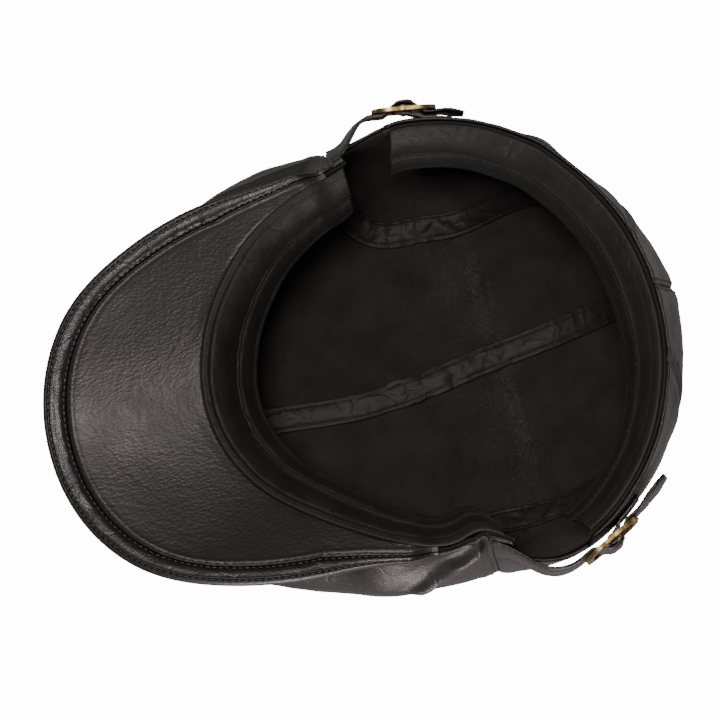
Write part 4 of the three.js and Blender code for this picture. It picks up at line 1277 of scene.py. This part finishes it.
def plate_mesh(name, outline, holes, thick, frame_of, bevel, steps):
    """Flat plate with holes, its edges rounded, laid in a frame of origin, right, up and out."""
    work = bmesh.new()
    flat = [[Vector((x, y, 0)) for x, y in loop] for loop in (outline, *holes)]
    spots = [p for loop in flat for p in loop]
    low = [work.verts.new((p.x, p.y, -thick / 2)) for p in spots]
    high = [work.verts.new((p.x, p.y, thick / 2)) for p in spots]
    for a, b, c in tessellate_polygon(flat):
        turned = (spots[b] - spots[a]).cross(spots[c] - spots[a]).z < 0
        tri = (a, c, b) if turned else (a, b, c)
        work.faces.new([high[k] for k in tri])
        work.faces.new([low[k] for k in reversed(tri)])
    start = 0
    for loop in flat:
        size = len(loop)
        for k in range(size):
            a, b = start + k, start + (k + 1) % size
            work.faces.new((low[a], low[b], high[b], high[a]))
        start += size
    bmesh.ops.recalc_face_normals(work, faces=work.faces)
    sharp = [e for e in work.edges if len(e.link_faces) == 2 and e.calc_face_angle() > 1.0]
    bmesh.ops.bevel(
        work, geom=sharp, offset=bevel, segments=steps, affect="EDGES", profile=0.5, clamp_overlap=True
    )
    origin, right, up, out = (np.asarray(v) for v in frame_of)
    for vert in work.verts:
        x, y, z = vert.co
        vert.co = Vector((origin + right * x + up * y + out * z) * MM)
    bmesh.ops.recalc_face_normals(work, faces=work.faces)
    mesh = bpy.data.meshes.new(name)
    work.to_mesh(mesh)
    work.free()
    mesh.shade_smooth()
    mesh.set_sharp_from_angle(angle=math.radians(40))
    return mesh


def rounded_outline(left, right, half_height, right_radius, left_radius, steps):
    corners = (
        (right - right_radius, right_radius - half_height, right_radius),
        (right - right_radius, half_height - right_radius, right_radius),
        (left + left_radius, half_height - left_radius, left_radius),
        (left + left_radius, left_radius - half_height, left_radius),
    )
    points = []
    for corner, (x, y, radius) in enumerate(corners):
        for turn in np.linspace(corner - 1, corner, steps) * math.pi / 2:
            points.append((x + radius * math.cos(turn), y + radius * math.sin(turn)))
    return points


def add_buckle(name, side):
    at, out, up, around = outside(side, 0.0)
    slot_half = STRAP_WIDTH / 2 + 3 * CLEARANCE
    round_end = 0.55 * BUCKLE_HALF
    high = slot_half + BUCKLE_RIM
    outline = rounded_outline(-BUCKLE_HALF, BUCKLE_HALF, high, round_end, round_end, 12)
    near, far = BUCKLE_BAR / 2, BUCKLE_HALF - BUCKLE_RIM
    inner = max(round_end - BUCKLE_RIM, 1)
    holes = [
        rounded_outline(near, far, slot_half, inner, 1, 7),
        rounded_outline(-far, -near, slot_half, 1, inner, 7),
    ]
    frame_of = (at + out * RING_MIDDLE, around, up, out)
    mesh = plate_mesh(f"buckle_{name}", outline, holes, BUCKLE_WALL, frame_of, 0.55, 4)
    piece(f"brass_slide_{name}", mesh, BRASS, "brass", f"buckle_{name}")


def add_tab(name, side):
    at, out, _, around = outside(side, 0.0)
    along = around * side["sign"]
    across = np.cross(along, out)

    def foot(mm, height):
        x = (outside(side, mm)[0] - at) @ along
        return x, TAB_SEAT + height - fall_away(side, mm)

    stops = np.linspace(1, 0.4, 10) * TAB_LENGTH
    profile = [foot(mm, 0) for mm in stops]
    for turn in np.linspace(-0.35, -1.6, 22) * math.pi:
        profile.append((TAB_LOOP * math.cos(turn), RING_MIDDLE + TAB_LOOP * math.sin(turn)))
    profile += [foot(mm, TAB_WALL) for mm in stops[::-1]]
    turns = np.linspace(0, 2 * math.pi, 20)[:-1]
    eye = [(TAB_EYE * math.cos(t), RING_MIDDLE + TAB_EYE * math.sin(t)) for t in turns]
    frame_of = (at, along, out, across)
    mesh = plate_mesh(f"buckle_tab_{name}", profile, [eye], TAB_WIDTH, frame_of, 0.25, 2)
    piece(f"buckle_tab_leather_{name}", mesh, BORDER_HIDE, "leather", f"buckle_tab_{name}")


# ---- Stitches -----------------------------------------------------------------------------------


def stitch_tree():
    """Lays one short thread after another along lines, each lying on its surface."""
    tree = bpy.data.node_groups.new("lay_stitches", "GeometryNodeTree")
    face = tree.interface
    face.new_socket(name="Geometry", in_out="INPUT", socket_type="NodeSocketGeometry")
    sizes = (
        ("Pitch", 0.0028), ("Length", 0.0022), ("Thickness", 0.0006), ("Height", 0.00045),
        ("Slant", 0.12),
    )
    for label, value in sizes:
        face.new_socket(name=label, in_out="INPUT", socket_type="NodeSocketFloat").default_value = value
    face.new_socket(name="Seed", in_out="INPUT", socket_type="NodeSocketInt").default_value = 7
    face.new_socket(name="Thread", in_out="INPUT", socket_type="NodeSocketMaterial")
    face.new_socket(name="Geometry", in_out="OUTPUT", socket_type="NodeSocketGeometry")
    given, out = tree.nodes.new("NodeGroupInput"), tree.nodes.new("NodeGroupOutput")

    line = put(tree, "GeometryNodeMeshToCurve", {"Mesh": given.outputs["Geometry"]})
    rows = put(tree, "GeometryNodeResampleCurve",
               {"Curve": line.outputs["Curve"], "Length": given.outputs["Pitch"]}, mode="LENGTH")
    run = put(tree, "GeometryNodeInputTangent")
    facing = put(tree, "GeometryNodeInputNamedAttribute", {"Name": "facing"}, data_type="FLOAT_VECTOR")
    outward = {"Vector": facing.outputs["Attribute"]}
    sway = put(tree, "FunctionNodeRandomValue",
               {2: sum_of(tree, "MULTIPLY", given.outputs["Slant"], -1.0), 3: given.outputs["Slant"],
                "Seed": given.outputs["Seed"]}, data_type="FLOAT")
    up = put(tree, "FunctionNodeAlignRotationToVector", outward, axis="Z")
    ahead = put(tree, "FunctionNodeAlignRotationToVector",
                {"Rotation": up.outputs[0], "Vector": run.outputs[0]}, axis="X", pivot_axis="Z")
    turn = put(tree, "FunctionNodeAxisAngleToRotation", {"Axis": (0, 0, 1), "Angle": sway.outputs[1]})
    swayed = put(tree, "FunctionNodeRotateRotation",
                 {"Rotation": ahead.outputs[0], "Rotate By": turn.outputs[0]}, rotation_space="LOCAL")
    bead = put(tree, "GeometryNodeMeshUVSphere", {"Segments": 8, "Rings": 5, "Radius": 0.5})
    axes = zip("XYZ", ("Length", "Thickness", "Height"))
    size = put(tree, "ShaderNodeCombineXYZ", {axis: given.outputs[label] for axis, label in axes})
    laid = put(tree, "GeometryNodeInstanceOnPoints", {
        "Points": rows.outputs[0], "Instance": bead.outputs["Mesh"], "Rotation": swayed.outputs[0],
        "Scale": size.outputs[0],
    })
    real = put(tree, "GeometryNodeRealizeInstances", {"Geometry": laid.outputs[0]})
    dressed = put(tree, "GeometryNodeSetMaterial",
                  {"Geometry": real.outputs[0], "Material": given.outputs["Thread"]})
    tree.links.new(dressed.outputs[0], out.inputs["Geometry"])
    return tree


STITCHES = stitch_tree()
STITCH_HEIGHT = 0.75


def add_stitches(name, slot, rows, pitch, length, thickness, material=BLACK_THREAD):
    """One piece of stitches along rows of points, each row given with the way its surface faces."""
    points, facing, edges = [], [], []
    for line, normal in rows:
        start = len(points)
        points += line.tolist()
        facing += normal.tolist()
        edges += [(start + k, start + k + 1) for k in range(len(line) - 1)]
    mesh = bpy.data.meshes.new(name)
    mesh.from_pydata((np.asarray(points) * MM).tolist(), edges, [])
    layer = mesh.attributes.new("facing", "FLOAT_VECTOR", "POINT")
    layer.data.foreach_set("vector", np.asarray(facing, dtype=np.float32).ravel())
    lines = bpy.data.objects.new(name + "_lines", mesh)
    bpy.context.scene.collection.objects.link(lines)
    sewn = lines.modifiers.new("stitches", "NODES")
    sewn.node_group = STITCHES
    values = {
        "Pitch": pitch * MM, "Length": length * MM, "Thickness": thickness * MM,
        "Height": STITCH_HEIGHT * thickness * MM, "Thread": material,
    }
    for item in STITCHES.interface.items_tree:
        if item.in_out == "INPUT" and item.name in values:
            sewn[item.identifier] = values[item.name]
    shown = lines.evaluated_get(bpy.context.evaluated_depsgraph_get())
    made = bpy.data.meshes.new_from_object(shown)
    made.name = name
    lines.modifiers.clear()
    bpy.data.objects.remove(lines)
    made.shade_smooth()
    return piece(name, made, material, slot)


def crown_row(angles, shares, aside):
    """A sewn row on the outside of the crown, moved aside from its line by a length in millimetres."""
    moved, normal, share = row_beside(angles, shares, aside)
    return moved + normal * hide_relief(moved, angle_of(moved), share)[:, None], normal


def visor_row(distance, height):
    """A sewn row along the visor, at a distance in from its outer edge."""
    angles = np.linspace(-VISOR_ARC + 4, VISOR_ARC - 4, 400)
    width = visor_rib(angles)[2]
    scale = border_width(width) / BORDER_WIDTH
    w = (width - distance * scale)[:, None]
    low = visor_point(angles, w, np.full(w.shape, height))
    high = visor_point(angles, w, np.full(w.shape, height + 1))
    return low[:, 0], (high - low)[:, 0]


def band_row(start, end, relief, v):
    angles = np.linspace(start, end, 500)[:, None]
    v = np.full((1, 1), v)
    plain = band_point(angles, v, BAND_WALL)
    low = band_point(angles, v, BAND_WALL, relief * band_relief(plain, v))
    high = band_point(angles, v, BAND_WALL + 1, relief * band_relief(plain, v))
    return low[:, 0], (high - low)[:, 0]


# ---- The cap ------------------------------------------------------------------------------------

add_crown()
tape_faces = dict(add_tapes())
lining = add_lining(tape_faces.values())
left, right = SIDES["left"], SIDES["right"]
BACK_RELIEF = 0.45
band_ends = {
    "front": (BAND_END - left["notch"], right["notch"] - BAND_END),
    "back": (right["notch_back"] + BAND_END, 360 - left["notch_back"] - BAND_END),
}
front_band = add_band("sweatband_padded_front", "sweatband_front", *band_ends["front"], 330)
back_band = add_band("sweatband_padded_back", "sweatband_back", *band_ends["back"], 260, BACK_RELIEF)
add_visor()
strap_rows = []
for name, side in SIDES.items():
    edge, normal = add_strap(name, side)
    strap_rows += [(edge[:, k], normal[:, k]) for k in (0, 1)]
    add_buckle(name, side)
    add_tab(name, side)

CENTRE_ROWS = (-2.0, 2.0)
CENTRE_START = 8
BORDER_STITCHES = ((2.1, -0.1), (8.35, -0.25))
PANEL_STITCHES = (10.6, 0.12)

seam_rows = []
for name, line in SEAM_LINES.items():
    seam_rows += [crown_row(*line, SIDES[name]["sign"] * aside) for aside in SEAM_ROWS]
for line in CENTRE_LINES.values():
    sewn_part = [values[CENTRE_START:] for values in line]
    seam_rows += [crown_row(*sewn_part, aside) for aside in CENTRE_ROWS]
border_rows = [visor_row(*place) for place in BORDER_STITCHES]
band_rows = [band_row(*band_ends["front"], 1.0, v) for v in BAND_ROWS]
band_rows += [band_row(*band_ends["back"], BACK_RELIEF, v) for v in BAND_ROWS]
tape_rows = []
for face in tape_faces.values():
    aside = face[:, TAPE_MIDDLE + 1] - face[:, TAPE_MIDDLE - 1]
    normal = unit(np.cross(np.gradient(face[:, TAPE_MIDDLE], axis=0), aside))
    tape_rows += [(face[:, k], normal) for k in TAPE_STITCHED]

# Pitch, length and thickness of the stitches in millimetres
add_stitches("crown_seam_stitches", "leather", seam_rows, 2.8, 2.3, 0.7)
add_stitches("visor_border_stitches", "leather", border_rows, 2.6, 2.1, 0.65, WAXED_THREAD)
add_stitches("visor_panel_stitches", "grained_leather", [visor_row(*PANEL_STITCHES)], 3.4, 1.9, 0.5)
add_stitches("sweatband_stitches", "satin_cloth", band_rows, 2.6, 2.1, 0.5)
add_stitches("tape_stitches", "satin_cloth", tape_rows, 2.6, 2.0, 0.45)
add_stitches("strap_stitches", "leather", strap_rows, 2.6, 2.1, 0.5)

# ---- Stage --------------------------------------------------------------------------------------

FLOOR_GLOW = 14.0
FLOOR_HALF = 30.0
ROOM_LIGHT = 0.17
CAMERA_TURN = 73.5
CAMERA_RISE = 82.0
CAMERA_AWAY = 0.75
CAMERA_LENS = 94.1

floor_mesh = bpy.data.meshes.new("pale_floor")
corners = [(x * FLOOR_HALF, y * FLOOR_HALF, 0) for x, y in ((-1, -1), (1, -1), (1, 1), (-1, 1))]
floor_mesh.from_pydata(corners, [], [(0, 1, 2, 3)])
floor = bpy.data.objects.new("pale_floor", floor_mesh)
bpy.context.scene.collection.objects.link(floor)
pale, _, pale_surface = start_material("pale_floor", Roughness=0.9)
pale_surface.inputs["Base Color"].default_value = (0.4, 0.4, 0.4, 1)
pale_surface.inputs["Emission Color"].default_value = (1, 1, 1, 1)
seen = put(pale.node_tree, "ShaderNodeLightPath").outputs["Is Camera Ray"]
glow = sum_of(pale.node_tree, "MULTIPLY", seen, FLOOR_GLOW)
pale.node_tree.links.new(glow, pale_surface.inputs["Emission Strength"])
floor_mesh.materials.append(pale)
floor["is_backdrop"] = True

world = bpy.data.worlds.new("soft_studio")
bpy.context.scene.world = world
world.use_nodes = True
room = world.node_tree.nodes["Background"]
room.inputs["Color"].default_value = (1, 0.92, 0.91, 1)
room.inputs["Strength"].default_value = ROOM_LIGHT


def soft_light(name, place, target, size, power):
    lamp = bpy.data.lights.new(name, "AREA")
    lamp.shape = "RECTANGLE"
    lamp.size, lamp.size_y = size
    lamp.energy = power
    lamp.color = (1.0, 0.9, 0.89)
    made = bpy.data.objects.new(name, lamp)
    made.location = place
    made.rotation_euler = (Vector(place) - Vector(target)).to_track_quat("Z", "Y").to_euler()
    bpy.context.scene.collection.objects.link(made)


MIDDLE = (0.0, -0.03, 0.08)
soft_light("overhead_soft_box", (-0.06, -0.16, 1.2), MIDDLE, (0.3, 0.4), 11)
soft_light("side_soft_box", (-1.0, -0.5, 0.55), MIDDLE, (0.7, 0.35), 1.2)
soft_light("near_soft_box", (0.95, -0.15, 0.17), MIDDLE, (0.7, 0.22), 14)
soft_light("back_soft_box", (-0.2, 1.1, 0.2), MIDDLE, (0.8, 0.26), 2)

azimuth, elevation = math.radians(CAMERA_TURN), math.radians(CAMERA_RISE)
target = Vector((-0.007263, -0.020482, 0.079))
level = math.cos(elevation)
back = Vector((math.sin(azimuth) * level, -math.cos(azimuth) * level, math.sin(elevation)))
lens = bpy.data.cameras.new("front_camera")
lens.lens = CAMERA_LENS
lens.sensor_width = 36
camera = bpy.data.objects.new("front_camera", lens)
camera.location = target + back * CAMERA_AWAY
camera.rotation_euler = (-back).to_track_quat("-Z", "Y").to_euler()
bpy.context.scene.collection.objects.link(camera)
bpy.context.scene.camera = camera

boxes = {"cad": frame_box, "visual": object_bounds()}
{name: [list(map(float, corner)) for corner in box] for name, box in boxes.items()}
